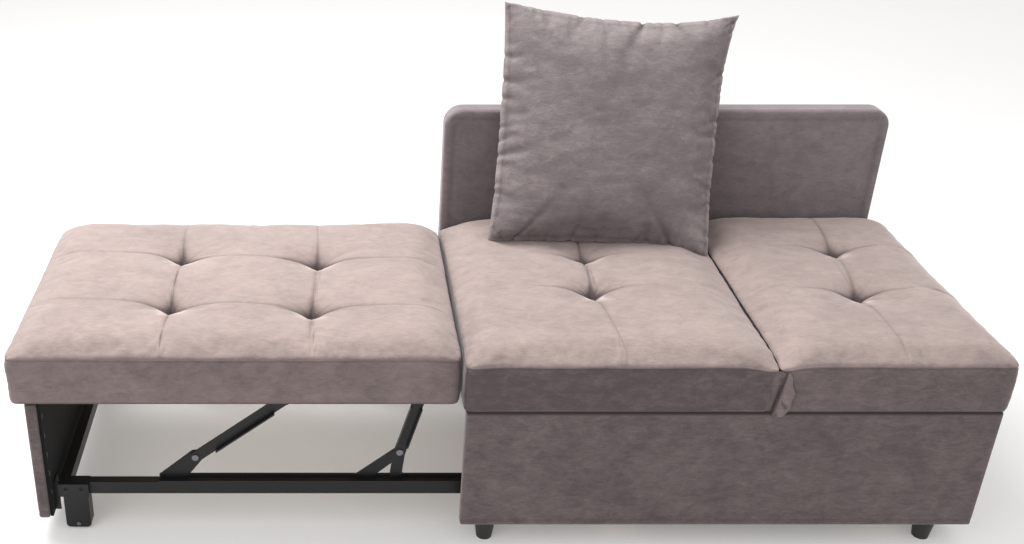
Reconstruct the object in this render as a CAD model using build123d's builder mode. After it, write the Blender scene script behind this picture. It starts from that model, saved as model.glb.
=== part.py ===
from build123d import *
from math import cos, radians, sin, tan
import os

# A compact sofa whose left half pulls out sideways to make a single bed.
# Frame: X along the sofa, Y away from the front, Z up, floor at zero, centre of the outer box at
# X and Y zero. Lengths are in millimetres.

os.makedirs("parts", exist_ok=True)

# Overall box of the sofa body
box_length = 1030
box_depth = 659
box_height = 272
foot_height = 49
panel_thickness = 25
panel_round = 6
touch_gap = 0.3
cut_overrun = 1

# Seat, head and pull-out units: a board with a cushion on it
unit_board_thickness = 12
skirt_thickness = 6
band_height = 97
crown_height = 28
side_bulge = 3
corner_inset = 15
shoulder_width = 26
tuft_depth = 17
valley_depth = 1.2
seat_overhang = 6
seat_back_gap = 4
head_overhang = 8
pullout_length = 874
pullout_setback = 28
pullout_gap = 4

# Tufted seams of the cushions, as shares of their depth (rows) and length (columns)
seat_rows_shares = (0.41, 0.675)
seat_columns_shares = (0.5,)
head_columns_shares = (0.555,)
pullout_rows_shares = (0.3, 0.66)
pullout_columns_shares = (0.343, 0.677)

# Where the shoulder starts and how it rounds, and how the crown rises and the seams dip.
# Each end row holds reach inwards, corner inset, rise and dip; each column row reach, rise, dip.
shoulder_share = 0.8
shoulder_mid_share = 0.35
shoulder_round_share = 0.66
panel_dip_share = 0.22
plain_end_shares = ((0, 1, 0.2, 0), (0.25, 0.35, 0.52, 0), (1, 0, 0.86, 0.08))
fold_end_shares = ((0, 0.1, 0.06, 0), (0.35, 0, 0.42, 0), (1.2, 0, 0.9, 0.1))
column_shares = ((-0.9, 0.97, 0.3), (0, 0.86, 1), (0.9, 0.97, 0.3))

# Fold between seat and head unit
fold_from_left = 585
fold_half_gap_top = 8
fold_half_gap_bottom = 14
fold_axis_drop = 6
batten_width = 22
batten_height = 23
hinge_arm_thickness = 4
hinge_arm_half_width = 7
hinge_flange_thickness = 2.5
hinge_flange_width = 28
hinge_setback = 40
hinge_pin_radius = 4
pin_clearance = 0.05
pin_head_radius = 6.5
pin_head_height = 2
gusset_thickness = 8
gusset_setback = 4
gusset_apex_drop = 12
gusset_edge_gap = 2

# Back
back_height_above_floor = 697
back_bottom = 60
back_length = 1014
back_corner_radius = 42
back_pad_thickness = 26
back_board_thickness = 18
back_lining_thickness = 2
back_wrap = 8
back_edge_round = 7
back_bolt_radius = 4
back_bolt_head_radius = 8
back_bolt_head_height = 3
back_spacer_radius = 11
back_bolt_end_inset = 150
back_bolt_low = 150
back_bolt_high = 250

# Base structure
deck_thickness = 12
deck_mouth_inset = 4
deck_rail_width = 25
deck_rail_height = 24
deck_rail_shares = (0.06, 0.5, 0.9)
bottom_rail_width = 60
bottom_rail_height = 24
bottom_rail_inset = 300
bottom_rail_right_inset = 120
corner_block_size = 40
corner_block_height = 120
foot_top_radius = 22.5
foot_bottom_radius = 16
foot_left_inset = 55
foot_right_inset = 77
foot_edge_inset = 32
foot_block_width = 50
foot_block_height = 31
foot_block_reach = 23
foot_screw_radius = 4
foot_screw_in_foot = 22
foot_screw_in_block = 26

# Drawer frame
board_thickness = 24
board_inset = 28
board_setback = 30
board_bottom = 42
lining_thickness = 6
lining_inset = 4
rail_setback = 58
rail_height = 28
rail_width = 20
rail_wall = 2
rail_bottom = 85
rail_reach_in = 150
cross_bar_width = 22
leg_width = 51
leg_head_width = 62
leg_head_height = 31
leg_depth = 30
leg_wall = 2
leg_bottom = 5
leg_round = 9
leg_head_lip = 2
leg_face_step = 8
roller_radius = 14
roller_width = 20
roller_axle_radius = 4
roller_edge_round = 2
bracket_plate = 3
board_bracket_width = 30
board_bracket_reach = 11
board_bracket_bottom = 45
axle_stub = 1.5

# Guide tracks and their wheels
track_wall = 2
track_wheel_radius = 11
track_wheel_width = 16
track_wheel_inset = 15
track_mouth_inset = 6
track_end_inset = 90
track_reach = 25
track_wheel_side_gap = 4.5
pullout_travel = 100
mouth_roller_radius = 9
mouth_roller_inset = 16
mouth_roller_width = 16
mouth_axle_radius = 3
mouth_bracket_width = 20
mouth_bracket_height = 18
mouth_bracket_drop = 8

# Lifting linkage of the pull-out cushion; pivots are measured from the box's left front corner
base_bar_height = 9
base_bar_reach = 610
strut_foot_from_left = 534
strut_foot_height = 167
link_foot_from_left = 121
link_foot_height = 180
strut_head_from_left = 351.5
link_head_from_left = 85.6
head_pivot_drop = 16
strut_width = 24
strut_flange = 10
strut_flange_start = 46
strut_flange_stop = 34
strut_bracket_foot = 56
strut_bracket_radius = 15
link_width = 24
link_flange = 8
link_flange_start = 17
link_leg_width = 24
link_slant_width = 22
link_slant_foot = 193
link_slant_spread = 35
link_upright_foot = 128
pivot_pin_radius = 4
pivot_head_radius = 7
pivot_head_height = 2.4
slot_washer_radius = 13
slot_clearance = 5.5
ear_radius = 12
slot_ear_radius = 15
top_bar_flange = 23
top_bar_height = 22
top_bar_left_inset = 124
top_bar_right_inset = 20
cross_tube_radius = 6
link_tube_from_head = 20
strut_tube_from_head = 30

# Throw pillow
pillow_width = 468
pillow_height = 496
pillow_thickness = 114
pillow_edge_thickness = 12
pillow_lean = 23
pillow_roll = 2
pillow_from_left = 328
pillow_seat_gap = 3.2
pillow_back_gap = 1.6
pillow_waist_share = 0.955
pillow_width_shares = (-0.5, -0.46, -0.36, -0.2, 0, 0.2, 0.36, 0.46, 0.5)
pillow_fullness_shares = (0, 0.34, 0.72, 0.94, 1, 0.94, 0.72, 0.34, 0)

# Places worked out from the sizes above
pullout_reach = pullout_length + seat_overhang + pullout_gap
overall_length = pullout_reach + box_length + head_overhang
back_thickness = back_pad_thickness + back_board_thickness + back_lining_thickness
overall_depth = box_depth + back_thickness
box_left = pullout_reach - overall_length / 2
box_right = box_left + box_length
box_front = -overall_depth / 2
box_rear = box_front + box_depth
box_middle = box_front + box_depth / 2
box_top = foot_height + box_height
inner_front = box_front + panel_thickness
inner_rear = box_rear - panel_thickness
inner_right = box_right - panel_thickness
unit_bottom = box_top + touch_gap
fold_x = box_left + fold_from_left
fold_z = unit_bottom + band_height - fold_axis_drop
unit_rear = box_rear - seat_back_gap
pullout_left = box_left - pullout_reach
pullout_right = pullout_left + pullout_length
pullout_front = box_front + pullout_setback
pullout_rear = box_rear - pullout_setback
board_left = pullout_left + board_inset
board_right = board_left + board_thickness
board_top = box_top
lining_right = board_right + lining_thickness
rail_top = rail_bottom + rail_height
rail_outer = box_depth / 2 - rail_setback
rail_inner = rail_outer - rail_width
bar_outer = rail_inner + bracket_plate
plate_outer = bar_outer + bracket_plate
web_inner = plate_outer + touch_gap
web_outer = web_inner + bracket_plate
head_pivot_z = unit_bottom - head_pivot_drop
strut_foot = (box_left - strut_foot_from_left, strut_foot_height)
strut_head = (box_left - strut_head_from_left, head_pivot_z)
link_foot = (box_left - link_foot_from_left, link_foot_height)
link_head = (box_left - link_head_from_left, head_pivot_z)
sides = (("front", -1), ("rear", 1))


def finish(part, name):
    """Names a finished piece and writes its STEP file."""
    part.label = name
    export_step(part, f"parts/{name}.step")


def slab(x_range, y_range, z_range, mode=Mode.ADD):
    """Plain block between two values on each axis, added to the piece being built."""
    ranges = (x_range, y_range, z_range)
    with Locations(tuple((low + high) / 2 for low, high in ranges)):
        Box(*[high - low for low, high in ranges], mode=mode)


def upright(y):
    """Plane that faces the front at depth y; its sketch coordinates are X and Z."""
    return Plane.XZ.offset(-y)


def span(start, length):
    """Range from start over a length that may be negative."""
    return min(start, start + length), max(start, start + length)


def side_range(side, inner, outer):
    """Y range of a piece between two distances from the drawer's middle."""
    return span(box_middle + side * inner, side * (outer - inner))


def side_face(side, inner, outer):
    """Deeper of the two faces of such a piece, from which it is extruded to the front."""
    return side_range(side, inner, outer)[1]


def rod(centre, radius, y_range):
    """Round bar along Y at an X and Z, added to the piece being built."""
    with Locations((centre[0], sum(y_range) / 2, centre[1])):
        Cylinder(radius, y_range[1] - y_range[0], rotation=(90, 0, 0))


def along(start, end, y):
    """Plane facing the front at depth y, with its X axis from start to end, and their distance."""
    run, rise = end[0] - start[0], end[1] - start[1]
    length = (run ** 2 + rise ** 2) ** 0.5
    plane = Plane(origin=(start[0], y, start[1]), x_dir=(run, 0, rise), z_dir=(0, -1, 0))
    return plane, length


# Upholstered panels of the sofa body

with BuildPart() as front_panel:
    slab((box_left, box_right), (box_front, inner_front), (foot_height, box_top))
    fillet(front_panel.faces().sort_by(Axis.Y)[0].edges(), panel_round)
finish(front_panel.part, "front_panel")

bolt_xs = (box_left + back_bolt_end_inset, box_left + back_length - back_bolt_end_inset)
bolt_points = [(x, z) for x in bolt_xs for z in (back_bolt_low, back_bolt_high)]
with BuildPart() as rear_panel:
    slab((box_left, box_right), (inner_rear, box_rear), (foot_height, box_top))
    with BuildSketch(upright(box_rear)):
        with Locations(*bolt_points):
            Circle(back_bolt_radius + pin_clearance)
    extrude(amount=panel_thickness, mode=Mode.SUBTRACT)
finish(rear_panel.part, "rear_panel")

with BuildPart() as right_panel:
    slab((inner_right, box_right), (inner_front, inner_rear), (foot_height, box_top))
finish(right_panel.part, "right_panel")

# Timber inside the sofa body

deck_bottom = box_top - deck_thickness
with BuildPart() as seat_deck:
    slab((box_left + deck_mouth_inset, inner_right), (inner_front, inner_rear),
         (deck_bottom, box_top))
finish(seat_deck.part, "seat_deck")

with BuildPart() as deck_rails:
    for share in deck_rail_shares:
        rail_x = box_left + share * box_length
        slab((rail_x - deck_rail_width / 2, rail_x + deck_rail_width / 2),
             (inner_front, inner_rear), (deck_bottom - deck_rail_height, deck_bottom))
finish(deck_rails.part, "deck_rails")

with BuildPart() as bottom_rails:
    for rail_x in (box_left + bottom_rail_inset,
                   box_right - bottom_rail_right_inset - bottom_rail_width):
        slab((rail_x, rail_x + bottom_rail_width), (inner_front, inner_rear),
             (foot_height, foot_height + bottom_rail_height))
finish(bottom_rails.part, "bottom_rails")

with BuildPart() as corner_blocks:
    with BuildSketch(Plane.XY.offset(foot_height + foot_block_height)):
        for corner_y, into in ((inner_front, 1), (inner_rear, -1)):
            with BuildLine():
                Polyline((inner_right, corner_y), (inner_right - corner_block_size, corner_y),
                         (inner_right, corner_y + into * corner_block_size), close=True)
            make_face()
    extrude(amount=corner_block_height)
finish(corner_blocks.part, "corner_blocks")

# Feet, their blocks and screws

foot_xs = (("left", box_left + foot_left_inset), ("right", box_right - foot_right_inset))
foot_ys = (("front", box_front + foot_edge_inset), ("rear", box_rear - foot_edge_inset))
foot_points = [(x, y) for _, x in foot_xs for _, y in foot_ys]
for row, foot_y in foot_ys:
    for column, foot_x in foot_xs:
        with BuildPart() as foot:
            for level, radius in ((0, foot_bottom_radius), (foot_height, foot_top_radius)):
                with BuildSketch(Plane.XY.offset(level)):
                    with Locations((foot_x, foot_y)):
                        Circle(radius)
            loft()
            with BuildSketch(Plane.XY.offset(foot_height)):
                with Locations((foot_x, foot_y)):
                    Circle(foot_screw_radius + pin_clearance)
            extrude(amount=-foot_screw_in_foot, mode=Mode.SUBTRACT)
        finish(foot.part, f"foot_{row}_{column}")

with BuildPart() as foot_blocks:
    for _, foot_x in foot_xs:
        for low, high in ((inner_front, inner_front + foot_block_reach),
                          (inner_rear - foot_block_reach, inner_rear)):
            slab((foot_x - foot_block_width / 2, foot_x + foot_block_width / 2),
                 (low, high), (foot_height, foot_height + foot_block_height))
    with BuildSketch(Plane.XY.offset(foot_height)):
        with Locations(*foot_points):
            Circle(foot_screw_radius + pin_clearance)
    extrude(amount=foot_screw_in_block, mode=Mode.SUBTRACT)
finish(foot_blocks.part, "foot_blocks")

with BuildPart() as foot_screws:
    with BuildSketch(Plane.XY.offset(foot_height - foot_screw_in_foot)):
        with Locations(*foot_points):
            Circle(foot_screw_radius)
    extrude(amount=foot_screw_in_foot + foot_screw_in_block)
finish(foot_screws.part, "foot_screws")

# Back: padded front, board behind it, thin lining, spacers and bolts


def back_outline(y, inset):
    """Outline of the back at depth y, drawn in by inset, with round top corners."""
    length = back_length - 2 * inset
    height = back_height_above_floor - back_bottom - 2 * inset
    middle = (box_left + back_length / 2, (back_height_above_floor + back_bottom) / 2)
    with BuildSketch(upright(y)) as outline:
        with Locations(middle):
            Rectangle(length, height)
        fillet(outline.vertices().group_by(Axis.Y)[-1], back_corner_radius - inset)
    return outline.sketch


pad_rear = box_rear + back_pad_thickness
board_rear = pad_rear + back_board_thickness
with BuildPart() as back_pad:
    extrude(back_outline(board_rear, 0), amount=back_pad_thickness + back_board_thickness)
    fillet(back_pad.faces().sort_by(Axis.Y)[0].edges(), back_edge_round)
    extrude(back_outline(board_rear, back_wrap), amount=back_board_thickness, mode=Mode.SUBTRACT)
    with BuildSketch(upright(pad_rear)):
        with Locations(*bolt_points):
            Circle(back_spacer_radius)
    extrude(amount=back_pad_thickness, mode=Mode.SUBTRACT)
finish(back_pad.part, "back_pad")

with BuildPart() as back_board:
    extrude(back_outline(board_rear, back_wrap), amount=back_board_thickness)
    with BuildSketch(upright(board_rear)):
        with Locations(*bolt_points):
            Circle(back_bolt_radius + pin_clearance)
    extrude(amount=back_board_thickness, mode=Mode.SUBTRACT)
finish(back_board.part, "back_board")

with BuildPart() as back_lining:
    extrude(back_outline(board_rear + back_lining_thickness, back_wrap / 2),
            amount=back_lining_thickness)
finish(back_lining.part, "back_lining")

with BuildPart() as back_spacers:
    with BuildSketch(upright(pad_rear)):
        with Locations(*bolt_points):
            Circle(back_spacer_radius)
            Circle(back_bolt_radius + pin_clearance, mode=Mode.SUBTRACT)
    extrude(amount=back_pad_thickness)
finish(back_spacers.part, "back_spacers")

with BuildPart() as back_bolts:
    with BuildSketch(upright(board_rear)):
        with Locations(*bolt_points):
            Circle(back_bolt_radius)
    extrude(amount=board_rear - inner_rear)
    with BuildSketch(upright(inner_rear)):
        with Locations(*bolt_points):
            Circle(back_bolt_head_radius)
    extrude(amount=back_bolt_head_height)
finish(back_bolts.part, "back_bolts")

# Cushions: cross-sections in the YZ plane, lofted along X


def cushion_section(x, front, rear, rows, inset, rise, dip):
    """One cross-section: flat base, bulging sides, round shoulders and a puff between each seam."""
    low, seam = unit_bottom, unit_bottom + band_height
    near, far = front + side_bulge + inset, rear - side_bulge - inset
    top = seam + crown_height * rise
    shoulder = seam + crown_height * rise * shoulder_share
    valleys = [(front + (rear - front) * share, top - valley_depth - tuft_depth * dip)
               for share in rows]
    knots = [(near + shoulder_width, shoulder)] + valleys + [(far - shoulder_width, shoulder)]
    bulge = (low + seam) / 2
    corner = (shoulder - seam) * shoulder_round_share
    with BuildSketch(Plane.YZ.offset(x)) as section:
        with BuildLine():
            Line((near, low), (far, low))
            ThreePointArc((far, low), (far + side_bulge, bulge), (far, seam))
            ThreePointArc((far, seam), (far - shoulder_width * shoulder_mid_share, seam + corner),
                          knots[-1])
            for start, end in zip(reversed(knots[1:]), reversed(knots[:-1])):
                ThreePointArc(start, ((start[0] + end[0]) / 2, top), end)
            ThreePointArc(knots[0], (near + shoulder_width * shoulder_mid_share, seam + corner),
                          (near, seam))
            ThreePointArc((near, seam), (near - side_bulge, bulge), (near, low))
        make_face()
    return section.sketch


def cushion_sections(left, right, front, rear, columns, rows, fold_side=0):
    """All cross-sections of a cushion, from its left end to its right end."""
    stations = []
    for end_x, into in ((left, 1), (right, -1)):
        shares = fold_end_shares if into == -fold_side else plain_end_shares
        stations += [(end_x + into * shoulder_width * reach, corner_inset * inset, rise, dip)
                     for reach, inset, rise, dip in shares]
    column_xs = [left + (right - left) * share for share in columns]
    edges = [left] + column_xs + [right]
    for column_x in column_xs:
        stations += [(column_x + shoulder_width * reach, 0, rise, dip)
                     for reach, rise, dip in column_shares]
    stations += [((a + b) / 2, 0, 1, panel_dip_share) for a, b in zip(edges, edges[1:])]
    return [cushion_section(x, front, rear, rows, inset, rise, dip)
            for x, inset, rise, dip in sorted(stations)]


board_z = (unit_bottom, unit_bottom + unit_board_thickness)
pocket_z = (unit_bottom - cut_overrun, board_z[1] + touch_gap)
batten_z = (board_z[1], board_z[1] + batten_height)

# Middle seat unit, fixed to the deck

seat_left = box_left - seat_overhang
seat_end = fold_x - fold_half_gap_top
seat_board_end = fold_x - fold_half_gap_bottom - hinge_flange_thickness
with BuildPart() as seat_cushion:
    loft(sections=cushion_sections(seat_left, seat_end, box_front, unit_rear, seat_columns_shares,
                                   seat_rows_shares, fold_side=1), ruled=True)
    slab((seat_left + skirt_thickness, fold_x), (box_front + skirt_thickness,
         unit_rear - skirt_thickness), pocket_z, mode=Mode.SUBTRACT)
    slab((seat_board_end - batten_width - touch_gap, fold_x), (box_front + skirt_thickness,
         unit_rear - skirt_thickness), (unit_bottom, batten_z[1] + touch_gap), mode=Mode.SUBTRACT)
    with BuildSketch(upright(unit_rear + cut_overrun)):
        with BuildLine():
            Polyline((seat_end, fold_z), (fold_x - fold_half_gap_bottom, unit_bottom - cut_overrun),
                     (fold_x, unit_bottom - cut_overrun), (fold_x, fold_z), close=True)
        make_face()
    extrude(amount=unit_rear - box_front + 2 * cut_overrun, mode=Mode.SUBTRACT)
finish(seat_cushion.part, "seat_cushion")

unit_depth = (box_front + skirt_thickness + touch_gap, unit_rear - skirt_thickness - touch_gap)
with BuildPart() as seat_board:
    slab((seat_left + skirt_thickness + touch_gap, seat_board_end), unit_depth, board_z)
    slab((seat_board_end - batten_width, seat_board_end), unit_depth, batten_z)
finish(seat_board.part, "seat_board")

# Head unit, hinged at the fold

head_right = box_right + head_overhang
head_end = fold_x + fold_half_gap_top
head_board_end = fold_x + fold_half_gap_bottom + hinge_flange_thickness
with BuildPart() as head_cushion:
    loft(sections=cushion_sections(head_end, head_right, box_front, unit_rear, head_columns_shares,
                                   seat_rows_shares, fold_side=-1), ruled=True)
    slab((fold_x, head_right - skirt_thickness), (box_front + skirt_thickness,
         unit_rear - skirt_thickness), pocket_z, mode=Mode.SUBTRACT)
    slab((fold_x, head_board_end + batten_width + touch_gap), (box_front + skirt_thickness,
         unit_rear - skirt_thickness), (unit_bottom, batten_z[1] + touch_gap), mode=Mode.SUBTRACT)
    with BuildSketch(upright(unit_rear + cut_overrun)):
        with BuildLine():
            Polyline((head_end, fold_z), (fold_x, fold_z), (fold_x, unit_bottom - cut_overrun),
                     (fold_x + fold_half_gap_bottom, unit_bottom - cut_overrun), close=True)
        make_face()
    extrude(amount=unit_rear - box_front + 2 * cut_overrun, mode=Mode.SUBTRACT)
finish(head_cushion.part, "head_cushion")

with BuildPart() as head_board:
    slab((head_board_end, head_right - skirt_thickness - touch_gap), unit_depth, board_z)
    slab((head_board_end, head_board_end + batten_width), unit_depth, batten_z)
finish(head_board.part, "head_board")

# Fold hinge: arms on the end battens, one pin at each side, and the gussets that close the fold

hinge_sides = ((box_front + hinge_setback, 1), (unit_rear - hinge_setback, -1))
arm_z = (unit_bottom + touch_gap, batten_z[1])
fold_point = (fold_x, fold_z)


def hinge_arm(plate_y, flange_y, end, step):
    """Plate from a batten's end up to the fold axis, with a flange on the side given by step."""
    near, far = fold_x - step * hinge_arm_half_width, fold_x + step * hinge_arm_half_width
    with BuildPart() as arm:
        slab(span(end, step * hinge_flange_thickness), flange_y, arm_z)
        with BuildSketch(upright(plate_y[1])):
            with BuildLine():
                Polyline((end, arm_z[0]), (end, arm_z[1] - hinge_arm_half_width), (near, arm_z[1]),
                         (near, fold_z), (far, fold_z), (far, arm_z[0]), close=True)
            make_face()
            with Locations(fold_point):
                Circle(hinge_arm_half_width)
                Circle(hinge_pin_radius + pin_clearance, mode=Mode.SUBTRACT)
        extrude(amount=plate_y[1] - plate_y[0])
    return arm.part


with BuildPart() as hinge_fixed_arms:
    for hinge_y, into in hinge_sides:
        add(hinge_arm(span(hinge_y, into * hinge_arm_thickness),
                      span(hinge_y, -into * hinge_flange_width), seat_board_end, 1))
finish(hinge_fixed_arms.part, "hinge_fixed_arms")

with BuildPart() as hinge_moving_arms:
    for hinge_y, into in hinge_sides:
        plate = span(hinge_y + into * (hinge_arm_thickness + touch_gap), into * hinge_arm_thickness)
        flange_from = hinge_y + into * (2 * hinge_arm_thickness + touch_gap)
        add(hinge_arm(plate, span(flange_from, into * hinge_flange_width), head_board_end, -1))
finish(hinge_moving_arms.part, "hinge_moving_arms")

with BuildPart() as hinge_pins:
    for hinge_y, into in hinge_sides:
        pin_length = 2 * (hinge_arm_thickness + touch_gap)
        rod(fold_point, hinge_pin_radius, span(hinge_y, into * pin_length))
        rod(fold_point, pin_head_radius, span(hinge_y, -into * pin_head_height))
        rod(fold_point, pin_head_radius, span(hinge_y + into * pin_length, into * pin_head_height))
finish(hinge_pins.part, "hinge_pins")

fold_lean = (fold_half_gap_bottom - fold_half_gap_top) / (fold_z - unit_bottom)
gusset_apex = (fold_x - fold_half_gap_top - fold_lean * gusset_apex_drop + touch_gap,
               fold_z - gusset_apex_drop)
with BuildPart() as fold_gussets:
    for gusset_y in (box_front + gusset_setback + gusset_thickness, unit_rear - gusset_setback):
        with BuildSketch(upright(gusset_y)):
            with BuildLine():
                Polyline((fold_x - fold_half_gap_bottom + touch_gap, unit_bottom),
                         (fold_x + fold_half_gap_bottom - gusset_edge_gap, unit_bottom),
                         gusset_apex, close=True)
            make_face()
        extrude(amount=gusset_thickness)
finish(fold_gussets.part, "fold_gussets")

# Drawer: end board, its black lining, and the steel frame on rollers

board_depth = (box_front + board_setback, box_rear - board_setback)
with BuildPart() as end_board:
    slab((board_left, board_right), board_depth, (board_bottom, board_top))
    fillet(end_board.faces().sort_by(Axis.X)[0].edges(), panel_round)
finish(end_board.part, "end_board")

with BuildPart() as end_board_lining:
    slab((board_right, lining_right), (board_depth[0] + lining_inset, board_depth[1] - lining_inset),
         (board_bottom + lining_inset, board_top - lining_inset))
finish(end_board_lining.part, "end_board_lining")

leg_head_left = lining_right + board_bracket_reach
leg_head_right = leg_head_left + leg_head_width
leg_right = leg_head_right - leg_head_lip
leg_left = leg_right - leg_width
leg_outer = rail_outer + leg_face_step
leg_inner = leg_outer - leg_depth
leg_head_bottom = rail_top - leg_head_height
rail_end = box_left + rail_reach_in
bar_top = rail_top + bracket_plate
axle_point = ((leg_left + leg_right) / 2, roller_radius)
for name, side in sides:
    with BuildPart() as leg_housing:
        slab((leg_left, leg_right), side_range(side, leg_inner, leg_outer), (leg_bottom, rail_top))
        fillet(leg_housing.edges().filter_by(Axis.Y).group_by(Axis.Z)[0], leg_round)
        slab((leg_head_left, leg_head_right), side_range(side, leg_inner, leg_outer),
             (leg_head_bottom, rail_top))
        slab((leg_left + leg_wall, leg_right - leg_wall),
             side_range(side, leg_inner + leg_wall, leg_outer - leg_wall),
             (leg_bottom - cut_overrun, leg_head_bottom), mode=Mode.SUBTRACT)
        with BuildSketch(upright(side_face(side, leg_inner, leg_outer))):
            with Locations(axle_point):
                Circle(roller_axle_radius + pin_clearance)
        extrude(amount=leg_depth, mode=Mode.SUBTRACT)
    finish(leg_housing.part, f"leg_housing_{name}")

    with BuildPart() as drawer_rail:
        slab((leg_head_right, rail_end), side_range(side, rail_inner, rail_outer),
             (rail_bottom, rail_top))
        slab((leg_head_right + rail_wall, rail_end - rail_wall),
             side_range(side, rail_inner + rail_wall, rail_outer - rail_wall),
             (rail_bottom + rail_wall, rail_top - rail_wall), mode=Mode.SUBTRACT)
    finish(drawer_rail.part, f"drawer_rail_{name}")

with BuildPart() as lift_base_bars:
    for _, side in sides:
        slab((box_left - base_bar_reach, rail_end), side_range(side, rail_inner, rail_outer),
             (rail_top, bar_top))
        slab((box_left - base_bar_reach, rail_end), side_range(side, rail_inner, bar_outer),
             (bar_top, rail_top + base_bar_height))
finish(lift_base_bars.part, "lift_base_bars")

with BuildPart() as board_brackets:
    for _, side in sides:
        slab((lining_right, lining_right + bracket_plate),
             side_range(side, rail_outer - bracket_plate - board_bracket_width, rail_outer),
             (board_bracket_bottom, rail_top))
        slab((lining_right + bracket_plate, leg_head_left),
             side_range(side, rail_outer - bracket_plate, rail_outer), (board_bracket_bottom, rail_top))
finish(board_brackets.part, "board_brackets")

with BuildPart() as cross_bars:
    for bar_left, bar_reach in ((leg_head_left, leg_inner), (rail_end - cross_bar_width, rail_inner)):
        slab((bar_left, bar_left + cross_bar_width),
             (box_middle - bar_reach, box_middle + bar_reach), (rail_bottom, rail_top))
        slab((bar_left + rail_wall, bar_left + cross_bar_width - rail_wall),
             (box_middle - bar_reach + rail_wall, box_middle + bar_reach - rail_wall),
             (rail_bottom + rail_wall, rail_top - rail_wall), mode=Mode.SUBTRACT)
finish(cross_bars.part, "cross_bars")

# Guide tracks on the panels, wheels that run in them, and rollers at the mouth of the body

panel_inner = box_depth / 2 - panel_thickness
wheel_point = (rail_end - track_wheel_inset, rail_bottom + rail_height / 2)
track_half = track_wheel_radius + touch_gap
wheel_outer = panel_inner - track_wall - track_wheel_side_gap
wheel_inner = wheel_outer - track_wheel_width
stop_x = wheel_point[0] - pullout_travel - track_wheel_radius - touch_gap
track_z = (wheel_point[1] - track_half - track_wall, wheel_point[1] + track_half + track_wall)
for name, side in sides:
    with BuildPart() as guide_track:
        slab((box_left + track_mouth_inset, inner_right - track_end_inset),
             side_range(side, panel_inner - track_reach, panel_inner), track_z)
        slab((box_left + track_mouth_inset - cut_overrun, inner_right - track_end_inset + cut_overrun),
             side_range(side, panel_inner - track_reach - cut_overrun, panel_inner - track_wall),
             (track_z[0] + track_wall, track_z[1] - track_wall), mode=Mode.SUBTRACT)
        slab((stop_x - track_wall, stop_x), side_range(side, wheel_inner, panel_inner),
             (track_z[0] + track_wall, track_z[1] - track_wall))
    finish(guide_track.part, f"guide_track_{name}")


def roller(centre, radius, bore, side, inner, outer):
    """Round-edged roller on an axle along Y, between two distances from the drawer's middle."""
    with BuildPart() as wheel:
        with BuildSketch(upright(side_face(side, inner, outer))):
            with Locations(centre):
                Circle(radius)
        extrude(amount=outer - inner)
        fillet(wheel.edges().filter_by(GeomType.CIRCLE), roller_edge_round)
        with BuildSketch(upright(side_face(side, inner, outer))):
            with Locations(centre):
                Circle(bore)
        extrude(amount=outer - inner, mode=Mode.SUBTRACT)
    return wheel.part


roller_inner = (leg_inner + leg_outer - roller_width) / 2
mouth_inner = (rail_inner + rail_outer - mouth_roller_width) / 2
mouth_point = (box_left + mouth_roller_inset, rail_bottom - touch_gap - mouth_roller_radius)
for name, side in sides:
    finish(roller(axle_point, roller_radius, roller_axle_radius + pin_clearance, side,
                  roller_inner, roller_inner + roller_width), f"floor_roller_{name}")
    finish(roller(wheel_point, track_wheel_radius, roller_axle_radius + pin_clearance, side,
                  wheel_inner, wheel_outer), f"track_wheel_{name}")
    finish(roller(mouth_point, mouth_roller_radius, mouth_axle_radius + pin_clearance, side,
                  mouth_inner, mouth_inner + mouth_roller_width), f"mouth_roller_{name}")


with BuildPart() as roller_axles:
    for _, side in sides:
        rod(axle_point, roller_axle_radius,
            side_range(side, leg_inner - axle_stub, leg_outer + axle_stub))
        rod(wheel_point, roller_axle_radius, side_range(side, rail_outer, wheel_outer + axle_stub))
finish(roller_axles.part, "roller_axles")

with BuildPart() as mouth_brackets:
    for _, side in sides:
        slab((mouth_point[0] - mouth_bracket_width / 2, mouth_point[0] + mouth_bracket_width / 2),
             side_range(side, panel_inner - track_reach, panel_inner),
             (mouth_point[1] - mouth_bracket_height / 2, mouth_point[1] + mouth_bracket_drop))
        rod(mouth_point, mouth_axle_radius,
            side_range(side, mouth_inner - axle_stub, panel_inner - track_reach))
        rod(mouth_point, mouth_axle_radius + axle_stub,
            side_range(side, mouth_inner - 2 * axle_stub, mouth_inner - axle_stub))
finish(mouth_brackets.part, "mouth_brackets")

# Linkage: brackets on the base bars, struts, short links, tubes and pins


def hull_of(point, radius, foot_x, foot_width):
    """Face from a round eye down to a straight foot on the base bar."""
    with BuildSketch() as shape:
        with Locations(point):
            Circle(radius)
        with Locations((foot_x, bar_top + bracket_plate)):
            Rectangle(foot_width, 2 * bracket_plate)
        make_hull()
    return shape.sketch


with BuildPart() as strut_brackets:
    for _, side in sides:
        with BuildSketch(upright(side_face(side, bar_outer, plate_outer))):
            add(hull_of(strut_foot, strut_bracket_radius,
                        box_left - base_bar_reach + strut_bracket_foot / 2, strut_bracket_foot))
            with Locations(strut_foot):
                Circle(pivot_pin_radius + pin_clearance, mode=Mode.SUBTRACT)
        extrude(amount=bracket_plate)
finish(strut_brackets.part, "strut_brackets")

with BuildPart() as link_brackets:
    for _, side in sides:
        with BuildSketch(upright(side_face(side, bar_outer, plate_outer))):
            add(hull_of(link_foot, link_slant_width / 2, box_left - link_slant_foot, link_slant_spread))
            add(hull_of(link_foot, link_leg_width / 2, box_left - link_upright_foot, link_leg_width))
            with Locations(link_foot):
                Circle(pivot_pin_radius + pin_clearance, mode=Mode.SUBTRACT)
        extrude(amount=bracket_plate)
finish(link_brackets.part, "link_brackets")

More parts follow.
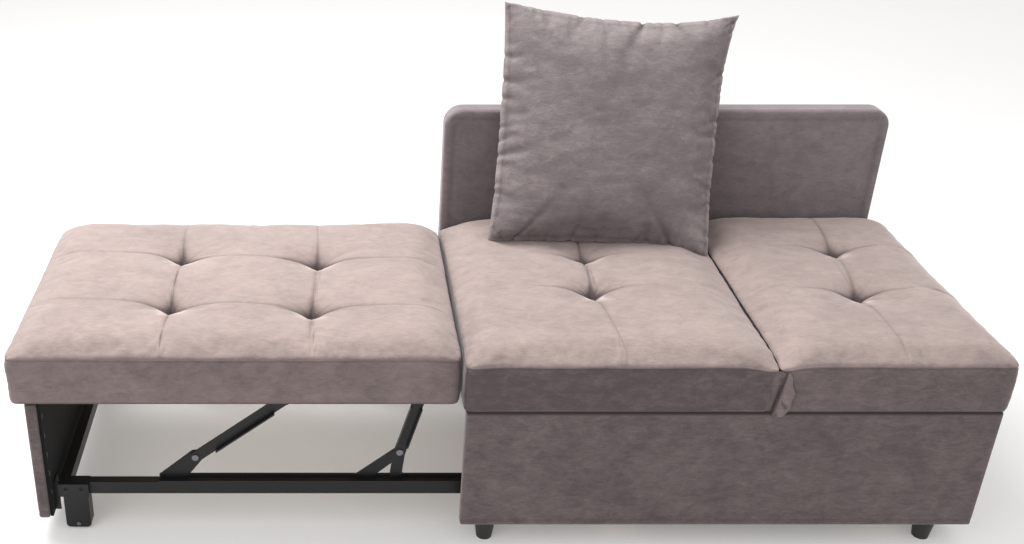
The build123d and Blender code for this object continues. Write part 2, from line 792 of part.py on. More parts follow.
for name, side in sides:
    web_face = side_face(side, web_inner, web_outer)
    plane, length = along(strut_foot, strut_head, web_face)
    with BuildPart() as strut:
        with BuildSketch(plane):
            with Locations((length / 2, 0)):
                SlotCenterToCenter(length, strut_width)
            with Locations((0, 0), (length, 0)):
                Circle(pivot_pin_radius + pin_clearance, mode=Mode.SUBTRACT)
        extrude(amount=bracket_plate)
        flange_face = side_face(side, web_outer, web_outer + strut_flange)
        plane, length = along(strut_foot, strut_head, flange_face)
        with BuildSketch(plane):
            with Locations(((strut_flange_start + length - strut_flange_stop) / 2,
                            (bracket_plate - strut_width) / 2)):
                Rectangle(length - strut_flange_start - strut_flange_stop, bracket_plate)
        extrude(amount=strut_flange)
    finish(strut.part, f"strut_{name}")

    plane, length = along(link_foot, link_head, web_face)
    with BuildPart() as short_link:
        with BuildSketch(plane):
            with Locations((length / 2, 0)):
                SlotCenterToCenter(length, link_width)
            with Locations((0, 0), (length, 0)):
                Circle(pivot_pin_radius + pin_clearance, mode=Mode.SUBTRACT)
        extrude(amount=bracket_plate)
        flange_face = side_face(side, web_outer, web_outer + link_flange)
        plane, length = along(link_foot, link_head, flange_face)
        with BuildSketch(plane):
            with Locations(*[(length / 2, edge * (link_width - bracket_plate) / 2) for edge in (-1, 1)]):
                Rectangle(length - 2 * link_flange_start, bracket_plate)
        extrude(amount=link_flange)
    finish(short_link.part, f"short_link_{name}")


def point_down(start, end, distance):
    """Point at a distance from start on the way to end, in X and Z."""
    run, rise = end[0] - start[0], end[1] - start[1]
    scale = distance / (run ** 2 + rise ** 2) ** 0.5
    return start[0] + run * scale, start[1] + rise * scale


for name, head, foot_point, from_head in (("link", link_head, link_foot, link_tube_from_head),
                                          ("strut", strut_head, strut_foot, strut_tube_from_head)):
    tube_point = point_down(head, foot_point, from_head)
    with BuildPart() as cross_tube:
        with BuildSketch(upright(box_middle + web_inner)):
            with Locations(tube_point):
                Circle(cross_tube_radius)
                Circle(cross_tube_radius - rail_wall, mode=Mode.SUBTRACT)
        extrude(amount=2 * web_inner)
    finish(cross_tube.part, f"{name}_cross_tube")

for name, washers in (("link", ((link_foot, pivot_head_radius), (link_head, pivot_head_radius))),
                      ("strut", ((strut_foot, pivot_head_radius), (strut_head, slot_washer_radius)))):
    with BuildPart() as pins:
        for _, side in sides:
            for point, washer in washers:
                rod(point, pivot_pin_radius, side_range(side, bar_outer - touch_gap, web_outer))
                rod(point, pivot_head_radius, side_range(side, web_outer, web_outer + pivot_head_height))
                rod(point, washer,
                    side_range(side, bar_outer - touch_gap - pivot_head_height, bar_outer - touch_gap))
    finish(pins.part, f"{name}_pins")

# Pull-out cushion with its board and the two bars that the linkage lifts

with BuildPart() as pullout_cushion:
    loft(sections=cushion_sections(pullout_left, pullout_right, pullout_front, pullout_rear,
                                   pullout_columns_shares, pullout_rows_shares), ruled=True)
    slab((pullout_left + skirt_thickness, pullout_right - skirt_thickness),
         (pullout_front + skirt_thickness, pullout_rear - skirt_thickness), pocket_z,
         mode=Mode.SUBTRACT)
finish(pullout_cushion.part, "pullout_cushion")

board_gap = skirt_thickness + touch_gap
with BuildPart() as pullout_board:
    slab((pullout_left + board_gap, pullout_right - board_gap),
         (pullout_front + board_gap, pullout_rear - board_gap), board_z)
finish(pullout_board.part, "pullout_board")

with BuildPart() as top_bars:
    for _, side in sides:
        slab((pullout_left + top_bar_left_inset, pullout_right - top_bar_right_inset),
             side_range(side, bar_outer, bar_outer + top_bar_flange),
             (unit_bottom - bracket_plate, unit_bottom))
        slab((pullout_left + top_bar_left_inset, pullout_right - top_bar_right_inset),
             side_range(side, bar_outer, plate_outer), (unit_bottom - top_bar_height, unit_bottom))
        with BuildSketch(upright(side_face(side, bar_outer, plate_outer))):
            for point, radius in ((strut_head, slot_ear_radius), (link_head, ear_radius)):
                with Locations(point):
                    Circle(radius)
        extrude(amount=bracket_plate)
        with BuildSketch(upright(side_face(side, bar_outer, plate_outer))):
            for point, play in ((strut_head, slot_clearance), (link_head, pin_clearance)):
                with Locations(point):
                    Circle(pivot_pin_radius + play)
        extrude(amount=bracket_plate, mode=Mode.SUBTRACT)
finish(top_bars.part, "top_bars")

# Throw pillow: lens-shaped sections lofted across its width, leaning on the back

lean, roll = radians(pillow_lean), radians(pillow_roll)
rise_dir = Vector(0, sin(lean), cos(lean))
width_dir = Vector(1, 0, 0) * cos(roll) - rise_dir * sin(roll)
height_dir = Vector(1, 0, 0) * sin(roll) + rise_dir * cos(roll)
pillow_z = unit_bottom + band_height + crown_height + pillow_height / 2 * cos(lean) + pillow_seat_gap
pillow_y = (box_rear - pillow_thickness / 2 - pillow_back_gap
            - (back_height_above_floor - pillow_z) * tan(lean))
pillow_middle = Vector(box_left + pillow_from_left, pillow_y, pillow_z)
with BuildPart() as throw_pillow:
    sections = []
    for across, fullness in zip(pillow_width_shares, pillow_fullness_shares):
        thick = pillow_edge_thickness + (pillow_thickness - pillow_edge_thickness) * fullness
        tall = pillow_height * (1 - (1 - pillow_waist_share) * fullness)
        plane = Plane(origin=pillow_middle + width_dir * (across * pillow_width),
                      x_dir=height_dir, z_dir=width_dir)
        with BuildSketch(plane) as section:
            with BuildLine():
                ThreePointArc((-tall / 2, 0), (0, thick / 2), (tall / 2, 0))
                ThreePointArc((tall / 2, 0), (0, -thick / 2), (-tall / 2, 0))
            make_face()
        sections.append(section.sketch)
    loft(sections=sections, ruled=True)
finish(throw_pillow.part, "throw_pillow")
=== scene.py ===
# %% [markdown]
# # A pull-out sofa bed in brushed velvet
# The real thing is a compact two-seat sofa. Its right seat folds at a seam, a third cushion rides
# out of the left end on a steel drawer, and a padded back is bolted on behind.
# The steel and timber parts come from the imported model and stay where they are. What this lesson adds
# is everything that a rigid model can't show: the swollen cushions, the soft wrapped panels, the
# loose pillow, the small fasteners, and the finish of each material.

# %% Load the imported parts, which everything else is built around
import math

import bmesh
import bpy
import numpy as np
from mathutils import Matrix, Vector


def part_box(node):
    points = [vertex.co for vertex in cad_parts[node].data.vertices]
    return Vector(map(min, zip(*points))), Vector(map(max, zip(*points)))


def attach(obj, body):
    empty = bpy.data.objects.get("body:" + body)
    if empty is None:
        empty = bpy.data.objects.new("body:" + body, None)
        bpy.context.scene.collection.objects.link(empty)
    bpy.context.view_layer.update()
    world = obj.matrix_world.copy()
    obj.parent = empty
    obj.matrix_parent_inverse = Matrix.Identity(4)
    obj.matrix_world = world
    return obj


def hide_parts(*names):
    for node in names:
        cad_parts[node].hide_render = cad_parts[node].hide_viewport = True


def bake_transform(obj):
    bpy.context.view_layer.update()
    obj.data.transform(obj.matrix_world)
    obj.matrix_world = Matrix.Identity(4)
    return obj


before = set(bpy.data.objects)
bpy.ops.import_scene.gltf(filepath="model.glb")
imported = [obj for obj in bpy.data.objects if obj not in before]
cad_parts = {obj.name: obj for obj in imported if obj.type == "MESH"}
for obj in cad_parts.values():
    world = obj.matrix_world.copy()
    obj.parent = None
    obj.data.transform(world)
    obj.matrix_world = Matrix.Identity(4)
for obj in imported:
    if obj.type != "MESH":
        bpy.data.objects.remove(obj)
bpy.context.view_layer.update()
mm = 0.001

# %% [markdown]
# ## The camera
# The photograph was taken from standing height, a little left of the sofa's middle, looking down at
# about 27 degrees. The lens is a normal one. The picture is cropped to one side of the lens's axis,
# which the sideways shift repeats.

# %% Camera at the photograph's viewpoint
looking_down = 0.474  # radians
camera_data = bpy.data.cameras.new("camera")
camera = bpy.data.objects.new("camera", camera_data)
bpy.context.scene.collection.objects.link(camera)
camera.location = (-0.3399, -2.2446, 1.5945)
camera.rotation_euler = (math.pi / 2 - looking_down, 0, 0)
camera_data.lens = 41.63
camera_data.sensor_width = 36
camera_data.shift_x = 0.1784
bpy.context.scene.camera = camera
print("camera height", round(camera.location.z, 3), "looking down", round(math.degrees(looking_down)), "degrees")

# %% [markdown]
# ## Small tools for cloth and for noise
# Real upholstery is never even: the stuffing has lumps and the nap lies in patches. Smooth random
# noise gives both. It is worked out from a point's place alone, so each run gives the same cushion.
# Every seam, tuft and crease is a bump or a hollow of a certain width, so two curves do for all of
# them: a bell, round at its top, and a falloff, sharp at its start.

# %% Curves that shape seams, tufts and edges
def ease(value):
    """A smooth step from 0 to 1."""
    value = np.clip(value, 0, 1)
    return value * value * (3 - 2 * value)


def bell(offset, width):
    """1 at no offset, and nearly 0 two widths away."""
    return np.exp(-(offset / width) ** 2)


def falloff(distance, length):
    """1 at once, then dying away over this length."""
    return np.exp(-distance / length)


print("one width away a bell is", round(float(bell(1, 1)), 2), "and a falloff", round(float(falloff(1, 1)), 2))


# %% Smooth noise from a point's place
hash_way, hash_seed, hash_size = np.array([127.1, 311.7, 74.7]), 53.13, 43758.5453


def lattice_value(cell, seed):
    """A steady random number from 0 to 1 for each whole-number cell."""
    mixed = np.sin(cell @ hash_way + seed * hash_seed) * hash_size
    return mixed - np.floor(mixed)


def lumps(points, size, seed=0.0):
    """Soft lumps of about this size, from -1 to 1. size may be three sizes, for stretched lumps."""
    scaled = points / np.asarray(size, float)
    cell = np.floor(scaled)
    part = scaled - cell
    part = part * part * (3 - 2 * part)
    total = np.zeros(len(points))
    for corner in np.ndindex(2, 2, 2):
        corner = np.array(corner)
        weight = np.prod(np.where(corner, part, 1 - part), axis=1)
        total += weight * lattice_value(cell + corner, seed)
    return total * 2 - 1


def lump_layers(points, *layers):
    """The sum of (height, size, seed) layers of lumps."""
    return sum(height * lumps(points, size, seed) for height, size, seed in layers)


test_lumps = lumps(np.random.default_rng(1).random((500, 3)), 0.1)
print("lumps from", round(test_lumps.min(), 2), "to", round(test_lumps.max(), 2))


# %% Meshes to numbers and back
def new_piece(name, points, faces, edges=()):
    """A mesh object with its place in its mesh."""
    mesh = bpy.data.meshes.new(name)
    mesh.from_pydata(np.asarray(points, float).tolist(), list(edges), faces)
    mesh.update()
    piece = bpy.data.objects.new(name, mesh)
    bpy.context.scene.collection.objects.link(piece)
    return piece


def faces_between(rows, across, closed=False, along_first=False):
    """Quads between rows of points. closed joins each row's end to its start, and along_first turns
    the quads over by going along the row first."""
    faces = []
    for row in range(rows - 1):
        for k in range(across if closed else across - 1):
            a, b = row * across + k, row * across + (k + 1) % across
            faces.append((a, b, b + across, a + across) if along_first else (a, a + across, b + across, b))
    return faces


def numbers_of(mesh, kind="co"):
    """Three numbers for each point: its place, or with "normal" the way it faces."""
    flat = np.empty(len(mesh.vertices) * 3)
    mesh.vertices.foreach_get(kind, flat)
    return flat.reshape(-1, 3)


def points_of(piece):
    return numbers_of(piece.data)


def normals_of(piece):
    return numbers_of(piece.data, "normal")


def set_points(piece, points):
    piece.data.vertices.foreach_set("co", np.asarray(points, float).ravel())
    piece.data.update()


print("the packed seat board has", len(points_of(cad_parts["seat_board"])), "points")


# %% Numbers painted on a mesh, which the materials read by name
def paint(piece, name, values):
    layer = piece.data.attributes.get(name) or piece.data.attributes.new(name, "FLOAT", "POINT")
    layer.data.foreach_set("value", np.asarray(values, np.float32))


def read_paint(piece, name):
    values = np.empty(len(piece.data.vertices), np.float32)
    piece.data.attributes[name].data.foreach_get("value", values)
    return values.astype(float)


print("painted numbers are called nap, crease and lip")


# %% Modifiers made plain mesh, smooth faces, and faces turned outwards
def apply_modifiers(piece):
    ready = bpy.context.evaluated_depsgraph_get()
    made = bpy.data.meshes.new_from_object(piece.evaluated_get(ready))
    piece.modifiers.clear()
    piece.data = made


def subdivide(piece):
    finer = piece.modifiers.new("finer", "SUBSURF")
    finer.levels = finer.render_levels = 1
    apply_modifiers(piece)


def smooth(piece):
    piece.data.polygons.foreach_set("use_smooth", [True] * len(piece.data.polygons))


def face_outwards(piece, close=False):
    """Turns every face outwards, and before that can close an open rim with one flat face."""
    shell = bmesh.new()
    shell.from_mesh(piece.data)
    if close:
        bmesh.ops.holes_fill(shell, edges=[edge for edge in shell.edges if edge.is_boundary], sides=0)
    bmesh.ops.recalc_face_normals(shell, faces=shell.faces)
    shell.to_mesh(piece.data)
    shell.free()


def triangles_of(piece):
    return sum(len(face.vertices) - 2 for face in piece.data.polygons)


print("the packed seat board has", triangles_of(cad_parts["seat_board"]), "triangles")

# %% [markdown]
# ## The finishes
# The cover is a short-pile velvet. Light and shade are painted into its colour: the cushion tops are
# painted pale and upright sides dark, as the light falls, and each stroke of a hand leaves a patch. Several
# sizes of noise make the patches, the fine crinkle that runs along the sofa, and the pile itself. Numbers
# painted on the meshes help it: one paints light and shade by the way each face turns, one paints shade
# in creases, gaps and under things, and on the cushions one paints a pale highlight where a fold turns over.

# %% Nodes with their settings
def new_finish(name):
    finish = bpy.data.materials.new(name)
    finish.use_nodes = True
    tree = finish.node_tree
    return finish, tree, tree.nodes["Principled BSDF"]


def set_sockets(shader, values):
    for socket, value in values.items():
        shader.inputs[socket].default_value = value


def add_node(tree, kind, **values):
    """A node with its sockets and settings given by name."""
    node = tree.nodes.new(kind)
    for key, value in values.items():
        if key in node.inputs.keys():
            node.inputs[key].default_value = value
        else:
            setattr(node, key, value)
    return node


def object_noise(tree, scale, detail=3.0, stretch=(1, 1, 1), roughness=0.55, distortion=0.0):
    """Noise on Object coordinates, stretched by a mapping node."""
    place = add_node(tree, "ShaderNodeTexCoord")
    mapping = add_node(tree, "ShaderNodeMapping", Scale=stretch)
    tree.links.new(place.outputs["Object"], mapping.inputs["Vector"])
    noise = add_node(tree, "ShaderNodeTexNoise", Scale=scale, Detail=detail, Roughness=roughness,
                     Distortion=distortion)
    tree.links.new(mapping.outputs["Vector"], noise.inputs["Vector"])
    return noise.outputs["Fac"]


def painted(tree, name):
    """The number painted on the mesh under this name."""
    return add_node(tree, "ShaderNodeAttribute", attribute_name=name).outputs["Fac"]


trial, trial_tree, trial_shader = new_finish("trial")
trial_noise = object_noise(trial_tree, 30)
print("a finish with one noise has", len(trial_tree.nodes), "nodes, and its", trial_shader.name,
      len(trial_shader.inputs), "sockets")


# %% Sums, colours and bumps made from noise
def sums(tree, terms, start=0.0):
    """start + the sum of each output times its amount."""
    total = None
    for output, amount in terms:
        step = add_node(tree, "ShaderNodeMath", operation="MULTIPLY_ADD")
        tree.links.new(output, step.inputs[0])
        step.inputs[1].default_value = amount
        if total is None:
            step.inputs[2].default_value = start
        else:
            tree.links.new(total, step.inputs[2])
        total = step.outputs[0]
    return total


def tones(tree, factor, stops):
    """A colour ramp from (place, colour) stops."""
    ramp = add_node(tree, "ShaderNodeValToRGB")
    while len(ramp.color_ramp.elements) < len(stops):
        ramp.color_ramp.elements.new(0.5)
    for element, (place, colour) in zip(ramp.color_ramp.elements, stops):
        element.position = place
        element.color = (*colour, 1)
    tree.links.new(factor, ramp.inputs["Fac"])
    return ramp.outputs["Color"]


def cover(tree, under, amount, over):
    """A colour output with the fixed colour over it, as far as the amount says."""
    mix = add_node(tree, "ShaderNodeMix", data_type="RGBA")
    tree.links.new(amount, mix.inputs["Factor"])
    tree.links.new(under, mix.inputs[6])
    mix.inputs[7].default_value = (*over, 1)
    return mix.outputs[2]


def bumps(tree, shader, layers):
    """Bump nodes in a chain: (height output, strength, distance in metres)."""
    last = None
    for height, strength, distance in layers:
        bump = add_node(tree, "ShaderNodeBump", Strength=strength, Distance=distance)
        tree.links.new(height, bump.inputs["Height"])
        if last is not None:
            tree.links.new(last, bump.inputs["Normal"])
        last = bump.outputs["Normal"]
    tree.links.new(last, shader.inputs["Normal"])


def finish_by(tree, shader, colour, roughness):
    tree.links.new(colour, shader.inputs["Base Color"])
    tree.links.new(roughness, shader.inputs["Roughness"])


sums(trial_tree, [(trial_noise, 0.5), (object_noise(trial_tree, 70), 0.5)])
print("a sum of two noises makes that", len(trial_tree.nodes), "nodes")
bpy.data.materials.remove(trial)


# %% Velvet, in three shades
# How much paler than the pale tone the painted highlight is.
highlight_gain = 1.75


def velvet(name, dark, middle, pale, deep, sheen, sheen_tint, relief=1.0):
    """Short-pile cloth: painted dark to pale by how it is lit, the deep colour painted as shade in the creases, and a
    painted highlight paler than pale.
    """
    finish, tree, shader = new_finish(name)
    strokes = object_noise(tree, 6.5, 4, (1, 1.3, 1), 0.6, 0.6)
    patches = object_noise(tree, 30, 6, (1, 1.5, 1.5), 0.66, 0.5)
    crinkle = object_noise(tree, 70, 4, (1, 3.6, 3.6), 0.65, 0.35)
    threads = object_noise(tree, 420, 2, (1, 2.4, 2.4), 0.6)
    pile = object_noise(tree, 1900, 1, (1, 1, 1), 0.5)
    # The painted light and the noise choose the tone from dark to pale. Painted shade in the deep colour and a
    # painted highlight go over it.
    lie = sums(tree, [(painted(tree, "nap"), 0.66), (strokes, 0.36), (patches, 0.48), (crinkle, 0.30),
                      (threads, 0.30), (pile, 0.18)], -0.64)
    colour = tones(tree, lie, [(0.0, dark), (0.5, middle), (1.0, pale)])
    colour = cover(tree, colour, painted(tree, "crease"), deep)
    colour = cover(tree, colour, painted(tree, "lip"), [min(1, highlight_gain * tone) for tone in pale])
    finish_by(tree, shader, colour, sums(tree, [(patches, 0.25), (crinkle, 0.15)], 0.62))
    set_sockets(shader, {"Sheen Weight": sheen, "Sheen Roughness": 0.42, "Sheen Tint": (*sheen_tint, 1),
                         "Specular IOR Level": 0.18})
    bumps(tree, shader, [(patches, 0.22 * relief, 0.004), (crinkle, 0.42 * relief, 0.0016),
                         (threads, 0.3, 0.0005), (pile, 0.25, 0.0003)])
    return finish


sofa_velvet = velvet("brushed_velvet", (0.078, 0.060, 0.063), (0.225, 0.176, 0.171), (0.46, 0.365, 0.335),
                     (0.045, 0.033, 0.034), 0.55, (0.93, 0.86, 0.85))
pillow_velvet = velvet("crinkled_velvet", (0.070, 0.058, 0.062), (0.205, 0.172, 0.176), (0.44, 0.38, 0.375),
                       (0.045, 0.036, 0.038), 0.45, (0.9, 0.86, 0.88), relief=1.9)
# The back's velvet is the same cloth in other tones, painted for the light and shade that fall on the back.
shaded_back_velvet = velvet("shaded_velvet", (0.120, 0.100, 0.108), (0.265, 0.222, 0.233), (0.45, 0.38, 0.38),
                     (0.05, 0.04, 0.044), 0.5, (0.9, 0.86, 0.88), relief=1.4)
print("velvets", sofa_velvet.name, pillow_velvet.name, shaded_back_velvet.name)

# %% [markdown]
# The drawer's end is lined with black pressed cloth, the frame is softwood and plywood, and the
# mechanism is stoved steel with zinc-plated pins and moulded plastic wheels. Each finish has its own
# small faults: dust, late wood, orange peel, rolled streaks and scuffs.


# %% Lining and timber
def lining_cloth(name):
    """Black non-woven lining: matt, with pressed dots and fibres."""
    finish, tree, shader = new_finish(name)
    fibres = object_noise(tree, 240, 5, (1, 1, 1), 0.7, 0.5)
    dust = object_noise(tree, 9, 4, (1, 1, 1), 0.6)
    place = add_node(tree, "ShaderNodeTexCoord")
    dots = add_node(tree, "ShaderNodeTexVoronoi", Scale=420.0, Randomness=0.15)
    tree.links.new(place.outputs["Object"], dots.inputs["Vector"])
    shade = sums(tree, [(fibres, 0.6), (dust, 0.5)], -0.15)
    tree.links.new(tones(tree, shade, [(0, (0.003, 0.003, 0.0035)), (0.6, (0.008, 0.008, 0.009)),
                                       (1, (0.024, 0.023, 0.024))]), shader.inputs["Base Color"])
    set_sockets(shader, {"Roughness": 0.9, "Specular IOR Level": 0.12, "Sheen Weight": 0.04,
                         "Sheen Roughness": 0.5})
    bumps(tree, shader, [(dots.outputs["Distance"], 0.35, 0.0006), (fibres, 0.3, 0.0004)])
    return finish


def sawn_timber(name, stretch, pale, dark):
    """Softwood or plywood: rings drawn out along the grain, with darker late wood."""
    finish, tree, shader = new_finish(name)
    rings = object_noise(tree, 16, 4, stretch, 0.55, 1.4)
    grain = object_noise(tree, 130, 5, stretch, 0.7, 0.2)
    stain = object_noise(tree, 3.5, 3)
    shade = sums(tree, [(rings, 0.9), (grain, 0.35), (stain, 0.3)], -0.3)
    between = tuple((a + b) / 2 for a, b in zip(pale, dark))
    finish_by(tree, shader, tones(tree, shade, [(0, dark), (0.45, between), (1, pale)]),
              sums(tree, [(grain, 0.3)], 0.5))
    bumps(tree, shader, [(grain, 0.35, 0.0006)])
    return finish


softwood = (0.68, 0.52, 0.34), (0.36, 0.23, 0.12)
black_lining = lining_cloth("pressed_lining")
rail_timber = sawn_timber("rail_timber", (0.08, 1, 1), *softwood)
post_timber = sawn_timber("post_timber", (1, 1, 0.08), *softwood)
ply_board = sawn_timber("ply_board", (0.12, 1, 1), (0.60, 0.47, 0.33), (0.40, 0.28, 0.17))
print("timbers", rail_timber.name, post_timber.name, ply_board.name)


# %% Steels and plastic
def painted_steel(name, colour, worn):
    """Black stoving paint: a faint orange peel, dust, and brighter rubbed spots."""
    finish, tree, shader = new_finish(name)
    peel = object_noise(tree, 480, 2)
    dust = object_noise(tree, 14, 5, (1, 1, 1), 0.7, 0.5)
    rub = object_noise(tree, 60, 6, (0.25, 1, 1), 0.75)
    shade = sums(tree, [(dust, 0.7), (rub, 0.5)], -0.15)
    finish_by(tree, shader, tones(tree, shade, [(0, tuple(c * 0.6 for c in colour)), (0.55, colour), (1, worn)]),
              sums(tree, [(dust, 0.3), (rub, 0.2)], 0.2))
    set_sockets(shader, {"Specular IOR Level": 0.3, "Coat Weight": 0.08, "Coat Roughness": 0.25})
    bumps(tree, shader, [(peel, 0.12, 0.0004), (rub, 0.1, 0.0003)])
    return finish


def bright_zinc(name):
    """Zinc plated steel for pins and screws, with rolled streaks."""
    finish, tree, shader = new_finish(name)
    streaks = object_noise(tree, 210, 4, (1, 0.2, 1), 0.7)
    spangle = object_noise(tree, 90, 3)
    shade = sums(tree, [(streaks, 0.6), (spangle, 0.6)], -0.1)
    finish_by(tree, shader, tones(tree, shade, [(0, (0.09, 0.09, 0.095)), (0.6, (0.22, 0.22, 0.23)),
                                                (1, (0.46, 0.45, 0.44))]),
              sums(tree, [(streaks, 0.25), (spangle, 0.15)], 0.22))
    shader.inputs["Metallic"].default_value = 1.0
    bumps(tree, shader, [(streaks, 0.15, 0.0003)])
    return finish


def moulded_plastic(name, colour, scuffed):
    """Moulded black plastic: fine spark texture and pale scuffs."""
    finish, tree, shader = new_finish(name)
    spark = object_noise(tree, 900, 2)
    scuff = object_noise(tree, 45, 6, (1, 1, 0.3), 0.75, 0.4)
    shade = sums(tree, [(scuff, 1.2), (spark, 0.25)], -0.35)
    finish_by(tree, shader, tones(tree, shade, [(0, tuple(c * 0.7 for c in colour)), (0.6, colour), (1, scuffed)]),
              sums(tree, [(scuff, 0.3)], 0.35))
    bumps(tree, shader, [(spark, 0.25, 0.0003), (scuff, 0.15, 0.0005)])
    return finish


black_steel = painted_steel("stoved_steel", (0.009, 0.009, 0.010), (0.055, 0.053, 0.052))
bright_steel = bright_zinc("zinc_plate")
black_plastic = moulded_plastic("spark_plastic", (0.017, 0.016, 0.016), (0.07, 0.066, 0.064))
print("finishes", len(bpy.data.materials))

# %% [markdown]
# ## Mesh lines where the cloth bends
# A cushion is mostly slow curves with a few sharp lines. An even mesh would waste its points on the
# curves, so the mesh lines crowd together at each seam and tuft and spread out between them.


# %% Mesh lines that crowd near the seams
def mesh_lines(low, high, wide, narrow, near, reach=0.012):
    """Places from low to high: wide steps, narrow ones near each given place."""
    walk = np.linspace(low, high, 3001)
    density = np.full_like(walk, 1 / wide)
    for line in near:
        density += (1 / narrow - 1 / wide) * bell(walk - line, reach)
    count = np.concatenate([[0], np.cumsum((density[1:] + density[:-1]) / 2 * np.diff(walk))])
    places = np.interp(np.linspace(0, count[-1], int(np.ceil(count[-1])) + 1), count, walk)
    for line in near:
        if low < line < high:
            places[1 + np.argmin(np.abs(places[1:-1] - line))] = line
    return places


print("mesh lines over a metre", len(mesh_lines(0, 1, 0.009, 0.003, [0.5])))


# %% A block with round corners, open underneath
def round_corners(points, low, high, radius):
    """Pulls the corner squares of a plan onto round corners."""
    out = points.copy()
    centre = np.clip(out[:, :2], np.array(low) + radius, np.array(high) - radius)
    away = out[:, :2] - centre
    both = np.all(np.abs(away) > 1e-9, axis=1)
    size = np.max(np.abs(away[both]), axis=1) / np.linalg.norm(away[both], axis=1)
    out[both, :2] = centre[both] + away[both] * size[:, None]
    return out


def block_mesh(xs, ys, zs):
    """Points and faces of a block: a top grid and rings down its sides, open underneath.
    Also says which points are in the top grid."""
    nx, ny = len(xs), len(ys)
    points = [(x, y, zs[0]) for y in ys for x in xs]
    at = np.arange(nx * ny).reshape(ny, nx).tolist()
    faces = faces_between(ny, nx, along_first=True)
    rim = (at[0][:-1] + [at[j][-1] for j in range(ny - 1)] + at[-1][:0:-1]
           + [at[j][0] for j in range(ny - 1, 0, -1)])
    above = rim
    for z in zs[1:]:
        below = list(range(len(points), len(points) + len(rim)))
        points += [(points[k][0], points[k][1], z) for k in rim]
        for k in range(len(rim)):
            n = (k + 1) % len(rim)
            faces.append((above[k], below[k], below[n], above[n]))
        above = below
    return np.array(points), faces, np.arange(len(points)) < nx * ny


print("a block of 3 by 3 by 2 lines has", len(block_mesh([0, 1, 2], [0, 1, 2], [1, 0])[0]), "points")

# %% [markdown]
# ## The tufted cushions
# Each cushion is a foam block in a boxed cover: a top panel and a band, joined by a seam 97 mm up.
# A thread pulls the top down at each tuft, and shallow seams run from tuft to tuft. It is made in the
# order of the real one. The block is shaped first, then a cloth simulation blows the top panel up
# while the tufts and the seam are held, and last the sewn lines, the gathers and the pockets for
# the boards are cut, because a simulation would smooth them away.

# %% Sizes that all three cushions share, in metres
base_z = 0.3213
seam_z = 0.4183
band_height = seam_z - base_z
crown_start = 0.0275
crown_width, crown_fullness = 0.062, 2.15
tuft_z = 0.4195
held_by_tuft, held_by_seam = 0.007, 0.0015
corner_radius, fold_corner_radius = 0.017, 0.005
wide_step, narrow_step = 0.0092, 0.0036
ring_depths = np.array([0, 3, 7, 13, 21, 31, 42, 53, 64, 74, 83, 90, 94, band_height / mm]) * mm
fold_roll = 6.6
print("band", round(band_height / mm), "mm, crown", round(crown_start / mm), "mm, rings", len(ring_depths))


# %% Distances on the top panel, and its crown
def tuft_distance(points, tufts):
    return np.min([np.hypot(points[:, 0] - x, points[:, 1] - y) for x, y in tufts], axis=0)


def rim_distance(points, low, high):
    return np.min([points[:, 0] - low[0], high[0] - points[:, 0], points[:, 1] - low[1],
                   high[1] - points[:, 1]], axis=0)


def crown(points, low, high):
    """0 at the seam, rising steeply and then levelling to 1 inside."""
    rise = np.ones(len(points))
    for axis in (0, 1):
        for edge in (points[:, axis] - low[axis], high[axis] - points[:, axis]):
            inside = np.clip(edge / crown_width, 0, 1)
            rise *= np.clip(1 - (1 - inside) ** crown_fullness, 0, 1) ** (1 / crown_fullness)
    return rise


test_places = np.array([[0.0, 0.5, 0], [0.02, 0.5, 0], [0.5, 0.5, 0]])
print("crown at 0, 20 and 500 mm from the seam", np.round(crown(test_places, (0, 0), (1, 1)), 2))

# %% Sewn lines and gathers
thread_depth, thread_width = 0.0019, 0.0026
tuft_depth, tuft_width, tuft_reach = 0.0062, 0.0075, 0.040
spokes_per_tuft, spoke_width, spoke_depth = 9, 0.0035, 0.0028


def sewn_through(*stops):
    """A sewn line through (along, across) stops, straight on past its ends."""
    alongs, acrosses = zip(*sorted(stops))
    return lambda along: np.interp(along, alongs, acrosses)


def seam_lines(points, tufts, rows, columns, low, high):
    """How deep the sewn lines pull, in metres: deep by a tuft, a thread's depth far from it.
    A line's reach is how far it runs on from a tuft before it fades."""
    depth = np.zeros(len(points))
    for axis, lines in ((1, rows), (0, columns)):
        along = points[:, 1 - axis]
        ends = np.minimum(along - low[1 - axis], high[1 - axis] - along)
        for line, reach in lines:
            from_line = np.abs(points[:, axis] - line(along))
            near = np.min([np.abs(along - t[1 - axis]) + 8 * np.abs(line(t[1 - axis]) - t[axis])
                           for t in tufts], axis=0)
            pulled = falloff(near, tuft_reach)
            shown = ease((ends - 0.010) / 0.05) * bell(near, reach)
            depth = np.maximum(depth, shown * (thread_depth + tuft_depth * pulled)
                               * falloff(from_line, thread_width + tuft_width * pulled))
    return depth


def gathers(points, tufts, seed):
    """Small folds that run out from each tuft, like the spokes of a wheel."""
    pull = np.zeros(len(points))
    rng = np.random.default_rng(seed)
    for x, y in tufts:
        turn = np.arctan2(points[:, 1] - y, points[:, 0] - x)
        away = np.hypot(points[:, 0] - x, points[:, 1] - y)
        spokes = np.zeros(len(points))
        for direction in rng.uniform(-math.pi, math.pi, spokes_per_tuft):
            apart = np.abs((turn - direction + math.pi) % (2 * math.pi) - math.pi)
            spokes = np.maximum(spokes, rng.uniform(0.5, 1) * bell(apart * away, spoke_width))
        pull = np.maximum(pull, spokes * falloff(away, rng.uniform(0.022, 0.034)) * ease(away / 0.006))
    return spoke_depth * pull


print("sewn lines go", round((thread_depth + tuft_depth) / mm, 1), "mm deep at a tuft")

# %% [markdown]
# Cloth pressure does what stuffing does: it lifts each field between the tufts into its own pillow.
# It works on a copy, and only a limited part of each point's move is kept, so that a field can't
# swell into its neighbour or past the size of the real cushion.

